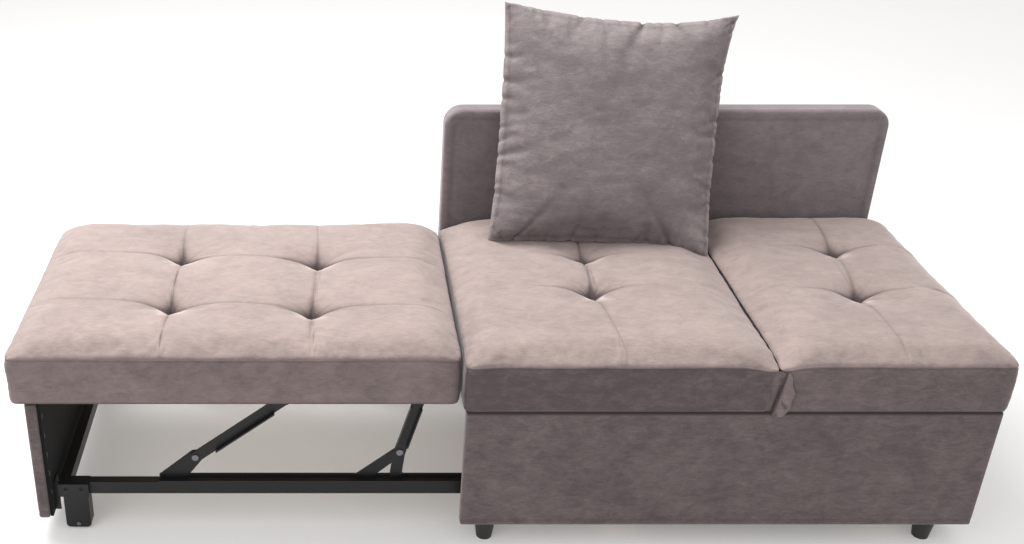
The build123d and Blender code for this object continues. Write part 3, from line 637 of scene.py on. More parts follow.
# %% Blowing a cover up with cloth
cloth_frames = 20
cloth_manner = {"quality": 5, "mass": 0.3, "tension_stiffness": 12, "compression_stiffness": 12, "shear_stiffness": 4,
                "bending_stiffness": 0.35, "air_damping": 3, "use_pressure": True, "uniform_pressure_force": 4.0}


def blow_up(piece, held, cap, shrink):
    """Moves the piece's points as cloth pressure would, each by no more than cap. held is 1 where the
    cover can't move, and a shrink below 0 gives the cloth that much more room."""
    scene = bpy.context.scene
    start = points_of(piece)
    trial = bpy.data.objects.new(piece.name + "_trial", piece.data.copy())
    scene.collection.objects.link(trial)
    group = trial.vertex_groups.new(name="held")
    for weight in np.unique(np.round(held, 2)):
        if weight > 0:
            group.add(np.nonzero(np.round(held, 2) == weight)[0].tolist(), float(weight), "REPLACE")
    cloth = trial.modifiers.new("cloth", "CLOTH")
    for setting, value in cloth_manner.items():
        setattr(cloth.settings, setting, value)
    cloth.settings.shrink_min = shrink
    cloth.settings.vertex_group_mass = "held"
    cloth.settings.effector_weights.gravity = 0
    cloth.collision_settings.use_collision = False
    cloth.point_cache.frame_start, cloth.point_cache.frame_end = 1, cloth_frames
    for step in range(1, cloth_frames + 1):
        scene.frame_set(step)
    ready = bpy.context.evaluated_depsgraph_get()
    move = numbers_of(trial.evaluated_get(ready).data) - start
    bpy.data.objects.remove(trial)
    scene.frame_set(1)
    size = np.linalg.norm(move, axis=1)
    limit = cap * np.tanh(size / cap) / np.maximum(size, 1e-9)
    set_points(piece, start + move * limit[:, None])
    print(piece.name, "moved at most", round(size.max() / mm, 1), "mm, kept", round((size * limit).max() / mm, 1))


# %% One tufted cushion from start to finish
def lean_sides(points, low, high, down, on_side, fold_side):
    """Draws the band in a little along its middle, and slopes it away at the fold."""
    middle = (np.array(low) + np.array(high)) / 2
    half = (np.array(high) - np.array(low)) / 2
    place = (points[:, :2] - middle) / half
    bulge = np.sin(np.clip(down, 0, 1) * math.pi)
    for axis in (0, 1):
        on_edge = np.clip((np.abs(place[:, axis]) - 0.9) / 0.1, 0, 1) * on_side
        along = 1 - place[:, 1 - axis] ** 2
        draw_in = -0.0030 * along * (1 - down) + 0.0012 * bulge
        if axis == 0 and fold_side:
            draw_in = np.where(np.sign(place[:, 0]) == fold_side, -0.006 * down, draw_in)
        points[:, axis] += np.sign(place[:, axis]) * on_edge * draw_in


def tufted_cushion(name, low, high, tufts, rows, columns, seed, fold_side=0, **looks):
    """low and high are the plan corners. fold_side is 1 or -1 where an end leans in at the fold.
    looks goes on to finish_cushion."""
    column_places = [float(line(y)) for line, _ in columns for y in (low[1] + 0.05, high[1] - 0.05)]
    row_places = [float(line(x)) for line, _ in rows for x in (low[0] + 0.10, high[0] - 0.10)]
    xs, ys = (mesh_lines(low[a], high[a], wide_step, narrow_step, [low[a], high[a], *sewn, *(t[a] for t in tufts)])
              for a, sewn in ((0, column_places), (1, row_places)))
    points, faces, is_top = block_mesh(xs, ys, seam_z - ring_depths)
    rise, pit = crown(points, low, high), tuft_distance(points, tufts)
    height = crown_start * rise
    pull = (seam_z + height - tuft_z) * (0.5 * falloff(pit, 0.016) + 0.5 * falloff(pit, 0.042))
    points[is_top, 2] += (height - pull)[is_top]
    fold_x = {1: high[0], -1: low[0], 0: math.inf}[fold_side]
    near_fold = np.abs(points[:, 0] - fold_x) < 0.1
    points = np.where(near_fold[:, None], round_corners(points, low, high, fold_corner_radius),
                      round_corners(points, low, high, corner_radius))
    lean_sides(points, low, high, (seam_z - points[:, 2]) / band_height, ~is_top, fold_side)
    piece = new_piece(name, points, faces)
    held = np.ones(len(points))
    held[is_top & (pit >= held_by_tuft) & (rim_distance(points, low, high) >= held_by_seam)] = 0.0
    blow_up(piece, held, cap=0.0075, shrink=-0.012)
    subdivide(piece)
    face_outwards(piece, close=True)
    finish_cushion(piece, low, high, tufts, rows, columns, seed, fold_side, **looks)
    return piece


# %% [markdown]
# What the simulation can't give is worked into its result, point by point. The top panel gets its
# sewn lines, spokes, lumps and creases, and rolls over the seam. The seam gets a groove and
# puckers, the band its wrinkles, and a worn corner sinks. Then painted light, painted shade and painted
# highlights are painted on as numbers.


# %% Creases, and the roll over the seam
def press_marks(points, marks, seed):
    """How deep the creases left by sitting are: each is (start, end, depth, width), in plan."""
    depth = np.zeros(len(points))
    for start, end, deep, wide in marks:
        a, b = np.array(start), np.array(end)
        share = np.clip(((points[:, :2] - a) @ (b - a)) / ((b - a) @ (b - a)), 0, 1)
        sway = 0.006 * np.sin(share * math.pi) * lumps(points, 0.05, seed + 9)
        apart = np.linalg.norm(points[:, :2] - (a + share[:, None] * (b - a)), axis=1) + sway
        depth = np.maximum(depth, deep * bell(apart, wide) * ease(share * 4) * ease((1 - share) * 4))
    return depth


def roll_over(points, low, high, fold_side):
    """The top panel rolls a little over its seam, and more where the two halves meet at the fold."""
    up = (points[:, 2] - seam_z) / mm
    roll_out = np.where(up > 0, (up / 7) * np.exp(1 - np.clip(up, 0, None) / 7), 0) * 0.0018
    for axis in (0, 1):
        for edge, side in ((low[axis], -1), (high[axis], 1)):
            times = fold_roll if axis == 0 and side == fold_side else 1.0
            points[:, axis] += side * bell(points[:, axis] - edge, 0.016) * roll_out * times


test_crease = press_marks(np.array([[0.05, 0.0, 0.0]]), [((0, 0), (0.1, 0), 0.002, 0.006)], seed=1)
print("a crease meant to be 2 mm deep is", round(float(test_crease[0]) / mm, 1), "mm deep at its middle")


# %% The seam, the band and the hem
def sew_band(points, normal, upright, low, high, seed):
    """Presses the seam, with its puckers, and the band's wrinkles in. Gives the height above the seam."""
    from_end = np.minimum(points[:, 0] - low[0], high[0] - points[:, 0])
    wander = 0.0009 * lumps(points, (0.09, 0.09, 1), seed + 5) - 0.0022 * np.exp(-(from_end / 0.2) ** -2)
    above = points[:, 2] - (seam_z + wander)
    pucker = 0.5 + 0.5 * lumps(points * [1, 1, 0.2], (0.011, 0.011, 0.05), seed + 7)
    groove = -0.0016 * bell(above, 0.0018) + 0.0009 * bell(above - 0.0085, 0.004)
    pinch = 0.0011 * pucker * bell(above, 0.010)
    band = ease((seam_z - 0.004 - points[:, 2]) / 0.010) * ease((points[:, 2] - base_z) / 0.012)
    wrinkles = band * lump_layers(points, (0.0011, (0.16, 0.16, 0.022), seed + 13),
                                  (0.0007, (0.07, 0.07, 0.011), seed + 17))
    hem = -0.0022 * bell(points[:, 2] - base_z, 0.0035)
    points += normal * [1, 1, 0.15] * (upright * (groove - pinch + wrinkles + hem))[:, None]
    return above


test_seam = np.array([[0.3, 0.0, seam_z]])
sew_band(test_seam, np.array([[0.0, -1.0, 0.0]]), np.ones(1), (0, 0), (1, 1), seed=1)
print("the seam is pressed in by", round(test_seam[0, 1] / mm, 1), "mm")


# %% Painted light, shade and highlights on a cushion
def tuft_highlights(points, normal, tufts, rows):
    """1 where the cloth in front of a tuft rolls over to level, where a pale highlight is painted."""
    lip = np.zeros(len(points))
    turning = bell(normal[:, 1] - 0.31, 0.10)
    for line, _ in rows:
        ahead = line(points[:, 0]) - points[:, 1]
        for x, y in tufts:
            if abs(line(x) - y) < 0.01:
                lip = np.maximum(lip, turning * ease((ahead - 0.002) / 0.004) * np.exp(-(ahead / 0.040) ** 4)
                                 * bell(points[:, 0] - x, 0.042))
    return lip


test_highlight = tuft_highlights(np.array([[0.0, -0.012, 0.0]]), np.array([[0.0, 0.31, 0.95]]), [(0, 0)],
                     [(sewn_through((-1, 0), (1, 0)), 0.1)])
print("12 mm ahead of a tuft, where the cloth turns over, the lip is", round(float(test_highlight[0]), 2))


def paint_cushion(piece, points, low, high, tufts, rows, pits, above, upright, band_nap, edge_nap, gap_sides):
    normal = normals_of(piece)
    # Painted light: tops pale and upright sides dark, the band lighter or darker by its own setting, and the top
    # panel kept pale down to its seam as far as the edge setting says.
    on_top = np.maximum(ease((normal[:, 2] - 0.10) / 0.90), edge_nap * ease((above - 0.0005) / 0.003))
    paint(piece, "nap", band_nap + (1 - band_nap) * on_top)
    inside = ease((rim_distance(points, low, high) - 0.004) / 0.010) * (points[:, 2] > seam_z - 0.02)
    # A painted highlight on the cloth that turns over in front of each tuft.
    paint(piece, "lip", 0.80 * inside * tuft_highlights(points, normal, tufts, rows))
    # Painted shade: in the dark gaps at the given ends, in the tufts, sewn lines and gathers, along the seam and at
    # the foot of the band.
    in_gap = np.zeros(len(points))
    for side in gap_sides:
        in_gap = np.maximum(in_gap, ease((side * normal[:, 0] - 0.55) / 0.35) * ease((0.001 - above) / 0.004))
    shade = (inside * np.clip(pits, 0, 1) + 0.45 * upright * bell(above, 0.0020)
             + 0.9 * upright * bell(points[:, 2] - base_z, 0.0045))
    paint(piece, "crease", np.clip(np.clip(shade, 0, 1) * 0.75 + in_gap, 0, 1))


# %% All the handwork on a blown cushion, in order
cusp_depth, cusp_reach = 0.0080, 0.009
print("on top of its sewn lines a tuft sinks", round(cusp_depth / mm), "mm")


def finish_cushion(piece, low, high, tufts, rows, columns, seed, fold_side, marks=(), dent=None, dips=(),
                   band_nap=0.0, edge_nap=0.0, gap_sides=()):
    """dips are (x, y, depth, reach along, reach across) where a corner sinks. The edge setting is how far the
    top panel is painted pale down to its seam, and the gap sides are the ends painted with shade for a dark gap."""
    points, normal = points_of(piece), normals_of(piece)
    over = ease((points[:, 2] - seam_z - 0.001) / 0.008)
    sewn = seam_lines(points, tufts, rows, columns, low, high)
    folds = gathers(points, tufts, seed)
    cusp = cusp_depth * falloff(tuft_distance(points, tufts), cusp_reach)
    lumpy = lump_layers(points, (0.0022, (0.16, 0.13, 0.13), seed), (0.0009, 0.055, seed + 3))
    points[:, 2] -= over * (sewn + folds + cusp + press_marks(points, marks, seed) - lumpy)
    roll_over(points, low, high, fold_side)
    if dent is not None:
        points[:, 2] -= over * dent(points)
    upright = 1 - ease((normal[:, 2] - 0.55) / 0.35)
    above = sew_band(points, normal, upright, low, high, seed)
    lift = np.clip((points[:, 2] - base_z) / band_height, 0, 1)
    for x, y, deep, reach_x, reach_y in dips:
        points[:, 2] -= lift * deep * bell(points[:, 0] - x, reach_x) * bell(points[:, 1] - y, reach_y)
    points[:, 2] = np.maximum(points[:, 2], base_z)
    set_points(piece, points)
    smooth(piece)
    pits = sewn / 0.0055 + folds / 0.006 + cusp / 0.007
    paint_cushion(piece, points, low, high, tufts, rows, pits, above, upright, band_nap, edge_nap, gap_sides)


# %% Cutting the board pocket out of the underside
clear = 0.0003


def cut_pocket(piece, boxes):
    """Takes boxes, given by two corners, out of a closed piece."""
    for low, high in boxes:
        points = [(x, y, z) for x in (low[0], high[0]) for y in (low[1], high[1]) for z in (low[2], high[2])]
        faces = [(0, 1, 3, 2), (4, 6, 7, 5), (0, 4, 5, 1), (2, 3, 7, 6), (0, 2, 6, 4), (1, 5, 7, 3)]
        cutter = new_piece("cutter", points, faces)
        cut = piece.modifiers.new("pocket", "BOOLEAN")
        cut.operation, cut.object, cut.solver = "DIFFERENCE", cutter, "EXACT"
        apply_modifiers(piece)
        bpy.data.objects.remove(cutter)
    smooth(piece)
    piece.data.set_sharp_from_angle(angle=math.radians(55))


print("a board has", clear / mm, "mm of room all round")

# %% The pull-out cushion
pull_low, pull_high = (-0.961, -0.3245), (-0.087, 0.2785)
pull_tufts = [(-0.661, 0.0745), (-0.364, 0.0505), (-0.661, -0.1425), (-0.375, -0.1625)]
# Painted light: this band is painted paler than the others, as the light comes from the left, and the top a little
# pale down to its seam; painted shade in the gap at its right end.
pull_cushion = tufted_cushion(
    "pullout_cushion_cover", pull_low, pull_high, pull_tufts,
    rows=[(sewn_through((-0.93, 0.082), (-0.661, 0.0745), (-0.364, 0.0505), (-0.09, 0.052)), 0.30),
          (sewn_through((-0.93, -0.132), (-0.661, -0.1425), (-0.375, -0.1625), (-0.09, -0.160)), 0.30)],
    columns=[(sewn_through((0.27, -0.668), (0.0745, -0.661), (-0.1425, -0.661), (-0.32, -0.664)), 0.16),
             (sewn_through((0.27, -0.366), (0.0505, -0.364), (-0.1625, -0.375), (-0.32, -0.377)), 0.20)],
    seed=3, band_nap=0.22, edge_nap=0.25, gap_sides=(1,),
    dips=[(-0.524, pull_high[1], 0.0055, 9.0, 0.055), (pull_high[0], pull_high[1], 0.010, 0.050, 0.060),
          (pull_low[0], pull_high[1], 0.006, 0.050, 0.060), (pull_high[0], pull_low[1], 0.004, 0.040, 0.040)],
    marks=[((-0.80, -0.215), (-0.745, -0.262), 0.0022, 0.006), ((-0.77, -0.20), (-0.80, -0.27), 0.0016, 0.005),
           ((-0.93, -0.02), (-0.80, -0.055), 0.0014, 0.006), ((-0.55, -0.11), (-0.43, -0.135), 0.0012, 0.007),
           ((-0.46, 0.00), (-0.40, -0.06), 0.0012, 0.006)])
print("pull-out cushion points", len(pull_cushion.data.vertices))

# %% The middle seat cushion, which carries the pillow
seat_low, seat_high = (-0.083, -0.3525), (0.500, 0.3025)
seat_tufts = [(0.217, 0.0795), (0.205, -0.0825)]


def pillow_dent(points):
    """The pillow's lower edge presses a shallow trough into the seat."""
    along = ease(points[:, 0] / 0.06) * ease((0.51 - points[:, 0]) / 0.05)
    return 0.0085 * bell(points[:, 1] - 0.135, 0.050) * along


# Painted light: this band is painted darker and the top panel pale down to its seam; painted shade in the gaps at
# both ends.
seat_cushion = tufted_cushion(
    "seat_cushion_cover", seat_low, seat_high, seat_tufts,
    rows=[(sewn_through((0.0, 0.083), (0.217, 0.0795), (0.45, 0.088)), 0.115),
          (sewn_through((0.0, -0.076), (0.205, -0.0825), (0.45, -0.072)), 0.115)],
    columns=[(sewn_through((0.30, 0.222), (0.0795, 0.217), (-0.0825, 0.205), (-0.34, 0.221)), 0.9)],
    seed=23, band_nap=-0.20, edge_nap=0.62, gap_sides=(-1, 1), fold_side=1, dent=pillow_dent,
    dips=[(seat_low[0], seat_high[1], 0.023, 0.085, 0.110), (seat_high[0], seat_high[1], 0.015, 0.070, 0.100),
          (seat_high[0], seat_low[1], 0.0085, 0.040, 0.036), (seat_low[0], seat_low[1], 0.004, 0.040, 0.040)],
    marks=[((-0.05, -0.10), (0.06, -0.16), 0.0014, 0.008), ((0.32, -0.02), (0.43, -0.05), 0.0012, 0.007)])
print("seat cushion points", len(seat_cushion.data.vertices))

# %% The head cushion
head_low, head_high = (0.516, -0.3525), (0.961, 0.3025)
head_tufts = [(0.775, 0.1085), (0.751, -0.0915)]
# Painted light: the band a little darker and the top panel pale down to its seam; painted shade in the gap at the
# fold end.
head_cushion = tufted_cushion(
    "head_cushion_cover", head_low, head_high, head_tufts,
    rows=[(sewn_through((0.55, 0.116), (0.775, 0.1085), (0.95, 0.118)), 0.125),
          (sewn_through((0.55, -0.084), (0.751, -0.0915), (0.95, -0.082)), 0.125)],
    columns=[(sewn_through((0.30, 0.784), (0.1085, 0.775), (-0.0915, 0.751), (-0.34, 0.747)), 0.9)],
    seed=37, band_nap=-0.03, edge_nap=0.55, gap_sides=(-1,), fold_side=-1,
    dips=[(head_low[0], head_high[1], 0.010, 0.060, 0.080), (head_low[0], head_low[1], 0.0070, 0.034, 0.036),
          (head_high[0], head_high[1], 0.004, 0.050, 0.050)],
    marks=[((0.86, -0.06), (0.93, -0.11), 0.0014, 0.007)])
print("head cushion points", len(head_cushion.data.vertices))

# %% [markdown]
# Each cushion sits over a plywood board, which shows as a thin line below the band. The seat and the
# head have a thin deck with a thicker batten at the fold, so their pocket has two steps. At the fold
# it runs out through the cushion's end, because the hinge arms reach the batten there.

# %% Pockets for the three boards
below_base, past_end = base_z - 0.02, 0.03
deck_thick, batten_wide = 0.0123, 0.045
low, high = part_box("pullout_board")
cut_pocket(pull_cushion, [((low.x - clear, low.y - clear, below_base),
                           (high.x + clear, high.y + clear, high.z + clear))])
for piece, node, side in ((seat_cushion, "seat_board", 1), (head_cushion, "head_board", -1)):
    low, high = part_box(node)
    end = high.x + past_end if side > 0 else low.x - past_end
    far = low.x - clear if side > 0 else high.x + clear
    batten = high.x - batten_wide if side > 0 else low.x + batten_wide
    cut_pocket(piece, [((min(end, start), low.y - clear, below_base), (max(end, start), high.y + clear, top))
                       for start, top in ((far, base_z + deck_thick), (batten, high.z + clear))])
print("pull-out cushion triangles", triangles_of(pull_cushion))

# %% The cushions' cloth, and what each rides on
for piece, node, body in ((pull_cushion, "pullout_cushion", "pullout_cushion_unit"),
                          (seat_cushion, "seat_cushion", "sofa_body"),
                          (head_cushion, "head_cushion", "head_unit")):
    piece.data.materials.append(sofa_velvet)
    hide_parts(node)
    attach(piece, body)
print("three cushions ride", [p.name for p in (pull_cushion, seat_cushion, head_cushion)])

# %% [markdown]
# ## The loose pillow
# A knife-edge pillow is two square panels sewn together and stuffed. Stuffing pulls the middle of each
# side in and leaves the corners standing out as ears. Its outline is set first, corner by corner,
# then cloth pressure fills the space between the two panels while the sewn edge is held.

# %% The pillow's place and its sewn outline
pillow_centre = np.array([0.251, 0.2397, 0.6778])
lean = math.radians(23)
across_dir = np.array([1.0, 0.0, 0.0])
up_dir = np.array([0.0, math.sin(lean), math.cos(lean)])
face_dir = np.cross(across_dir, up_dir)
print("pillow faces", np.round(face_dir, 2))
# Corners in the pillow's own plane, across and up from its centre, and how far each side draws in.
ears = {"top_left": (-0.205, 0.279), "top_right": (0.315, 0.250), "foot_right": (0.250, -0.277),
        "foot_left": (-0.239, -0.251)}
draw_in = {"left": 0.007, "right": 0.012, "top": 0.026, "foot": 0.010}


def pillow_outline(u, v):
    """The flat place of (u, v), each from -1 to 1, with drawn-in sides and standing corners."""
    right, top = (1 + u) / 2, (1 + v) / 2
    weights = {"top_left": (1 - right) * top, "top_right": right * top,
               "foot_right": right * (1 - top), "foot_left": (1 - right) * (1 - top)}
    x = sum(weights[ear] * ears[ear][0] for ear in ears)
    y = sum(weights[ear] * ears[ear][1] for ear in ears)
    bow_v, bow_u = (1 - np.abs(v) ** 3) ** 0.9, (1 - np.abs(u - 0.15 * (1 - u * u)) ** 2.2) ** 1.1
    x += bow_v * (draw_in["left"] * (1 - right) - draw_in["right"] * right * (1 + 0.9 * v))
    y += bow_u * (draw_in["foot"] * (1 - top) - draw_in["top"] * top)
    return x, y


# %% Two panels that share their sewn edge
pillow_squares, half_thickness = 76, 0.046


def make_pillow():
    """The pillow before stuffing, and 1 for each point of its sewn edge."""
    line = np.linspace(-1, 1, pillow_squares + 1)
    line = np.sign(line) * (1 - (1 - np.abs(line)) ** 1.25)
    u, v = [g.ravel() for g in np.meshgrid(line, line)]
    flat = np.stack(pillow_outline(u, v), 1)
    thick = half_thickness * np.clip((1 - u ** 2) * (1 - v ** 2), 0, 1) ** 0.42
    thick *= 1 - 0.10 * v
    is_rim = (np.abs(u) > 1 - 1e-9) | (np.abs(v) > 1 - 1e-9)
    front = np.arange(len(u))
    rear = np.where(is_rim, front, len(u) - 1 + np.cumsum(~is_rim))
    on_plane = pillow_centre + flat[:, :1] * across_dir + flat[:, 1:] * up_dir
    bulge = thick[:, None] * face_dir
    points = np.concatenate([on_plane + bulge, (on_plane - bulge)[~is_rim]])
    faces = []
    for quad in faces_between(len(line), len(line), along_first=True):
        faces += [quad, tuple(int(rear[k]) for k in reversed(quad))]
    pillow = new_piece("throw_pillow_cover", points, faces)
    paint(pillow, "across", np.concatenate([u, u[~is_rim]]))
    paint(pillow, "up", np.concatenate([v, v[~is_rim]]))
    return pillow, np.concatenate([is_rim, np.zeros((~is_rim).sum())]).astype(float)


pillow, pillow_held = make_pillow()
blow_up(pillow, pillow_held, cap=0.012, shrink=-0.02)
subdivide(pillow)
print("pillow points", len(pillow.data.vertices))

# %% Folds that run in from the pillow's edge
half_width, half_height = 0.245, 0.255
# The long folds, as the photograph has them: (side, place along it, slant, depth, length).
long_folds = (
    ("top", 0.045, 0.35, 2.0, 0.060), ("top", 0.115, -0.55, 1.5, 0.045), ("top", -0.080, 0.5, 1.0, 0.050),
    ("top", -0.165, -0.2, 0.9, 0.040), ("right", 0.030, 0.25, 1.5, 0.055), ("right", -0.005, -0.1, 1.3, 0.045),
    ("right", 0.130, 0.5, 1.1, 0.050), ("right", -0.120, -0.35, 1.1, 0.045), ("left", -0.150, 0.2, 1.2, 0.050),
    ("left", -0.070, -0.3, 1.0, 0.040), ("left", 0.090, 0.3, 0.9, 0.040), ("foot", 0.165, 0.7, 1.9, 0.065),
    ("foot", 0.110, 0.2, 1.2, 0.045), ("foot", -0.060, -0.2, 1.3, 0.040), ("foot", -0.190, -0.8, 1.8, 0.060))


def pillow_pleats(u, v, from_side, from_end):
    """How strong the folds are at each point: 72 small puckers and the few long folds."""
    edge, sideways = np.minimum(from_side, from_end), from_side < from_end
    along = np.where(sideways, half_height * v, half_width * u)
    nearest = np.where(sideways, np.where(u > 0, 0, 1), np.where(v > 0, 2, 3))
    rng = np.random.default_rng(5)
    pleats = np.zeros(len(u))
    for _ in range(72):
        centre, side = rng.uniform(-0.24, 0.24), rng.integers(0, 4)
        slant, strength = rng.uniform(-0.5, 0.5), rng.uniform(0.3, 1)
        pucker = bell(along - centre - slant * edge, 0.0042 + edge * 0.10)
        pleats = np.maximum(pleats, strength * (nearest == side) * pucker * falloff(edge, rng.uniform(0.014, 0.034)))
    on_side = {"top": v > 0, "foot": v < 0, "right": u > 0, "left": u < 0}
    for side, place, slant, deep, length in long_folds:
        level = side in ("top", "foot")
        away, spot = (from_end, half_width * u) if level else (from_side, half_height * v)
        fold = bell(spot - place + slant * away, 0.0055 + away * 0.11)
        pleats = np.maximum(pleats, deep * on_side[side] * fold * falloff(away, length))
    return pleats


print("long folds", len(long_folds))


# %% Puckers at the pillow's edge, and the way it rests
corner_bend = np.array([-0.003, -0.030, -0.003])


def finish_pillow(pillow):
    points, normal = points_of(pillow), normals_of(pillow)
    depth = (points - pillow_centre) @ face_dir
    u, v = read_paint(pillow, "across"), read_paint(pillow, "up")
    from_side, from_end = half_width * (1 - np.abs(u)), half_height * (1 - np.abs(v))
    edge = np.minimum(from_side, from_end)
    pleats = pillow_pleats(u, v, from_side, from_end)
    lumpy = lump_layers(points, (0.0048, (0.15, 0.15, 0.12), 41), (0.0018, (0.07, 0.07, 0.035), 43),
                        (0.0007, (0.035, 0.035, 0.012), 47))
    points += normal * (lumpy * ease(edge / 0.035) - 0.0038 * pleats * ease(edge / 0.004))[:, None]
    inward = pillow_centre - points
    inward -= np.outer(inward @ face_dir, face_dir)
    inward /= np.linalg.norm(inward, axis=1)[:, None]
    points += inward * (0.0030 * pleats * falloff(edge, 0.010))[:, None]
    # The lower right corner bends forward along the seat, where it is tucked in by the fold.
    points += (bell(u - 1, 0.33) * bell(v + 1, 0.28))[:, None] * corner_bend
    # A flat shelf at the very edge, where the two panels are sewn together.
    points -= face_dir * (depth * bell(edge, 0.004) * 0.35)[:, None]
    set_points(pillow, points)
    smooth(pillow)
    normal = normals_of(pillow)
    # Painted light: paler where the pillow faces up, with a pale painted highlight along its sewn edge; painted shade
    # in the pleats and just inside the edge.
    paint(pillow, "nap", np.clip(0.31 + 0.55 * normal[:, 2] + 0.30 * bell(edge, 0.006), 0, 1))
    paint(pillow, "crease", np.clip(0.50 * pleats + 0.35 * bell(edge - 0.009, 0.004), 0, 1) * 0.6)


finish_pillow(pillow)
pillow.data.materials.append(pillow_velvet)
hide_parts("throw_pillow")
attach(pillow, "throw_pillow")
print("pillow box", np.round(points_of(pillow).min(0), 3), np.round(points_of(pillow).max(0), 3))

# %% [markdown]
# ## The wrapped panels
# The body's sides are boards with a thin pad under the velvet. The cloth is pulled over each edge and
# stapled inside, so the edges are soft, the faces a little hollow or full, and the lower edge has a
# turned hem. A rounded box with a fine mesh takes all of that as small moves along its normals.


# %% A rounded box of quads
def box_grid(low, high, step, edge_step, radius):
    """A closed box with lines crowded at its edges, rounded to the radius."""
    lines = [mesh_lines(low[a], high[a], step, edge_step, [low[a], high[a]], radius * 1.2) for a in range(3)]
    points, faces, seen = [], [], {}

    def corner(*key):
        if key not in seen:
            seen[key] = len(points)
            points.append([lines[a][key[a]] for a in range(3)])
        return seen[key]

    for axis in range(3):
        a, b = (axis + 1) % 3, (axis + 2) % 3
        for end in (0, len(lines[axis]) - 1):
            for i in range(len(lines[a]) - 1):
                for j in range(len(lines[b]) - 1):
                    quad = []
                    for di, dj in ((0, 0), (1, 0), (1, 1), (0, 1)):
                        key = [0, 0, 0]
                        key[axis], key[a], key[b] = end, i + di, j + dj
                        quad.append(corner(*key))
                    faces.append(tuple(quad if end else reversed(quad)))
    points = np.array(points)
    inner = np.clip(points, np.array(low) + radius, np.array(high) - radius)
    away = points - inner
    size = np.linalg.norm(away, axis=1)
    points = inner + away * (radius / np.maximum(size, 1e-9))[:, None]
    return points, faces


print("a test box has", len(box_grid((0, 0, 0), (0.1, 0.1, 0.1), 0.02, 0.01, 0.005)[1]), "quads")


# %% Boards wrapped in cloth
board_step, softness = 0.012, 0.0012


def wrapped_board(node, radius, seed, body, hem_up, nap):
    """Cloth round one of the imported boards, with a turned hem this far up from its lower edge."""
    low, high = (np.array(corner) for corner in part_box(node))
    piece = new_piece(node + "_cover", *box_grid(low, high, board_step, radius * 0.45, radius))
    subdivide(piece)
    points, normal = points_of(piece), normals_of(piece)
    from_edge = np.sort(np.minimum(points - low, high - points), axis=1)[:, 1]
    soft = ease((from_edge - 0.002) / 0.03)
    hem = bell(points[:, 2] - low[2] - hem_up, 0.0022)
    move = soft * softness * lump_layers(points, (1, (0.20, 0.20, 0.16), seed), (0.45, (0.12, 0.12, 0.05), seed + 2),
                                         (0.25, (0.06, 0.06, 0.018), seed + 4)) - 0.8 * softness * soft - 0.0009 * hem
    set_points(piece, points + normal * move[:, None])
    smooth(piece)
    # Painted shade where the cushions cover the board's top and in the hem's groove; painted light sets the board's
    # tone, with a pale painted highlight along its rounded edges.
    shaded_top = ease((points[:, 2] - high[2] + 0.008) / 0.005)
    paint(piece, "nap", np.clip(nap + 0.10 * bell(from_edge, 0.005), -1, 1) * (1 - shaded_top))
    paint(piece, "crease", np.clip(0.3 * hem + shaded_top, 0, 1))
    piece.data.materials.append(sofa_velvet)
    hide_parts(node)
    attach(piece, body)


# Upright panels are painted darker, for the light they get, and the end board darker still.
for node, seed in (("front_panel", 51), ("rear_panel", 53), ("right_panel", 57)):
    wrapped_board(node, 0.005, seed, "sofa_body", hem_up=0.012, nap=-0.08)
wrapped_board("end_board", 0.006, 61, "drawer", hem_up=0.014, nap=-0.12)

# %% [markdown]
# ## The padded back
# The back is a board with round upper corners under 26 mm of foam. Its cover is drawn round the edge
# and stapled behind, under a black lining. It is built as rings: a front panel, a rounded edge that
# follows the outline, and a rim behind that leaves room for the board.

# %% The back's outline
back_low, back_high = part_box("back_pad")
top_radius, foot_radius = 0.042, 0.010
steps_level, steps_upright, steps_round = 104, 62, 11


def back_rim():
    """Points round the back's outline, in X and Z, with the outward direction of each."""
    x0, x1, z0, z1 = back_low.x, back_high.x, back_low.z, back_high.z
    corners = [(x0 + foot_radius, z0 + foot_radius, foot_radius, 180),
               (x1 - foot_radius, z0 + foot_radius, foot_radius, 270),
               (x1 - top_radius, z1 - top_radius, top_radius, 0),
               (x0 + top_radius, z1 - top_radius, top_radius, 90)]
    rim, out = [], []
    for k, (cx, cz, r, start) in enumerate(corners):
        for turn in np.radians(np.linspace(start, start + 90, steps_round)):
            rim.append((cx + r * math.cos(turn), cz + r * math.sin(turn)))
            out.append((math.cos(turn), math.sin(turn)))
        nx, nz, nr, nstart = corners[(k + 1) % 4]
        a = np.array(rim[-1])
        b = np.array([nx + nr * math.cos(math.radians(nstart)), nz + nr * math.sin(math.radians(nstart))])
        for share in np.linspace(0, 1, (steps_upright if k % 2 else steps_level) + 2)[1:-1]:
            rim.append(tuple(a + share * (b - a)))
            out.append(out[-1])
    return np.array(rim), np.array(out)


print("back outline points", len(back_rim()[0]))

# %% Rings from the back's front panel round to its rear rim
front_round, rear_round, rim_width = 0.0085, 0.004, 0.0077


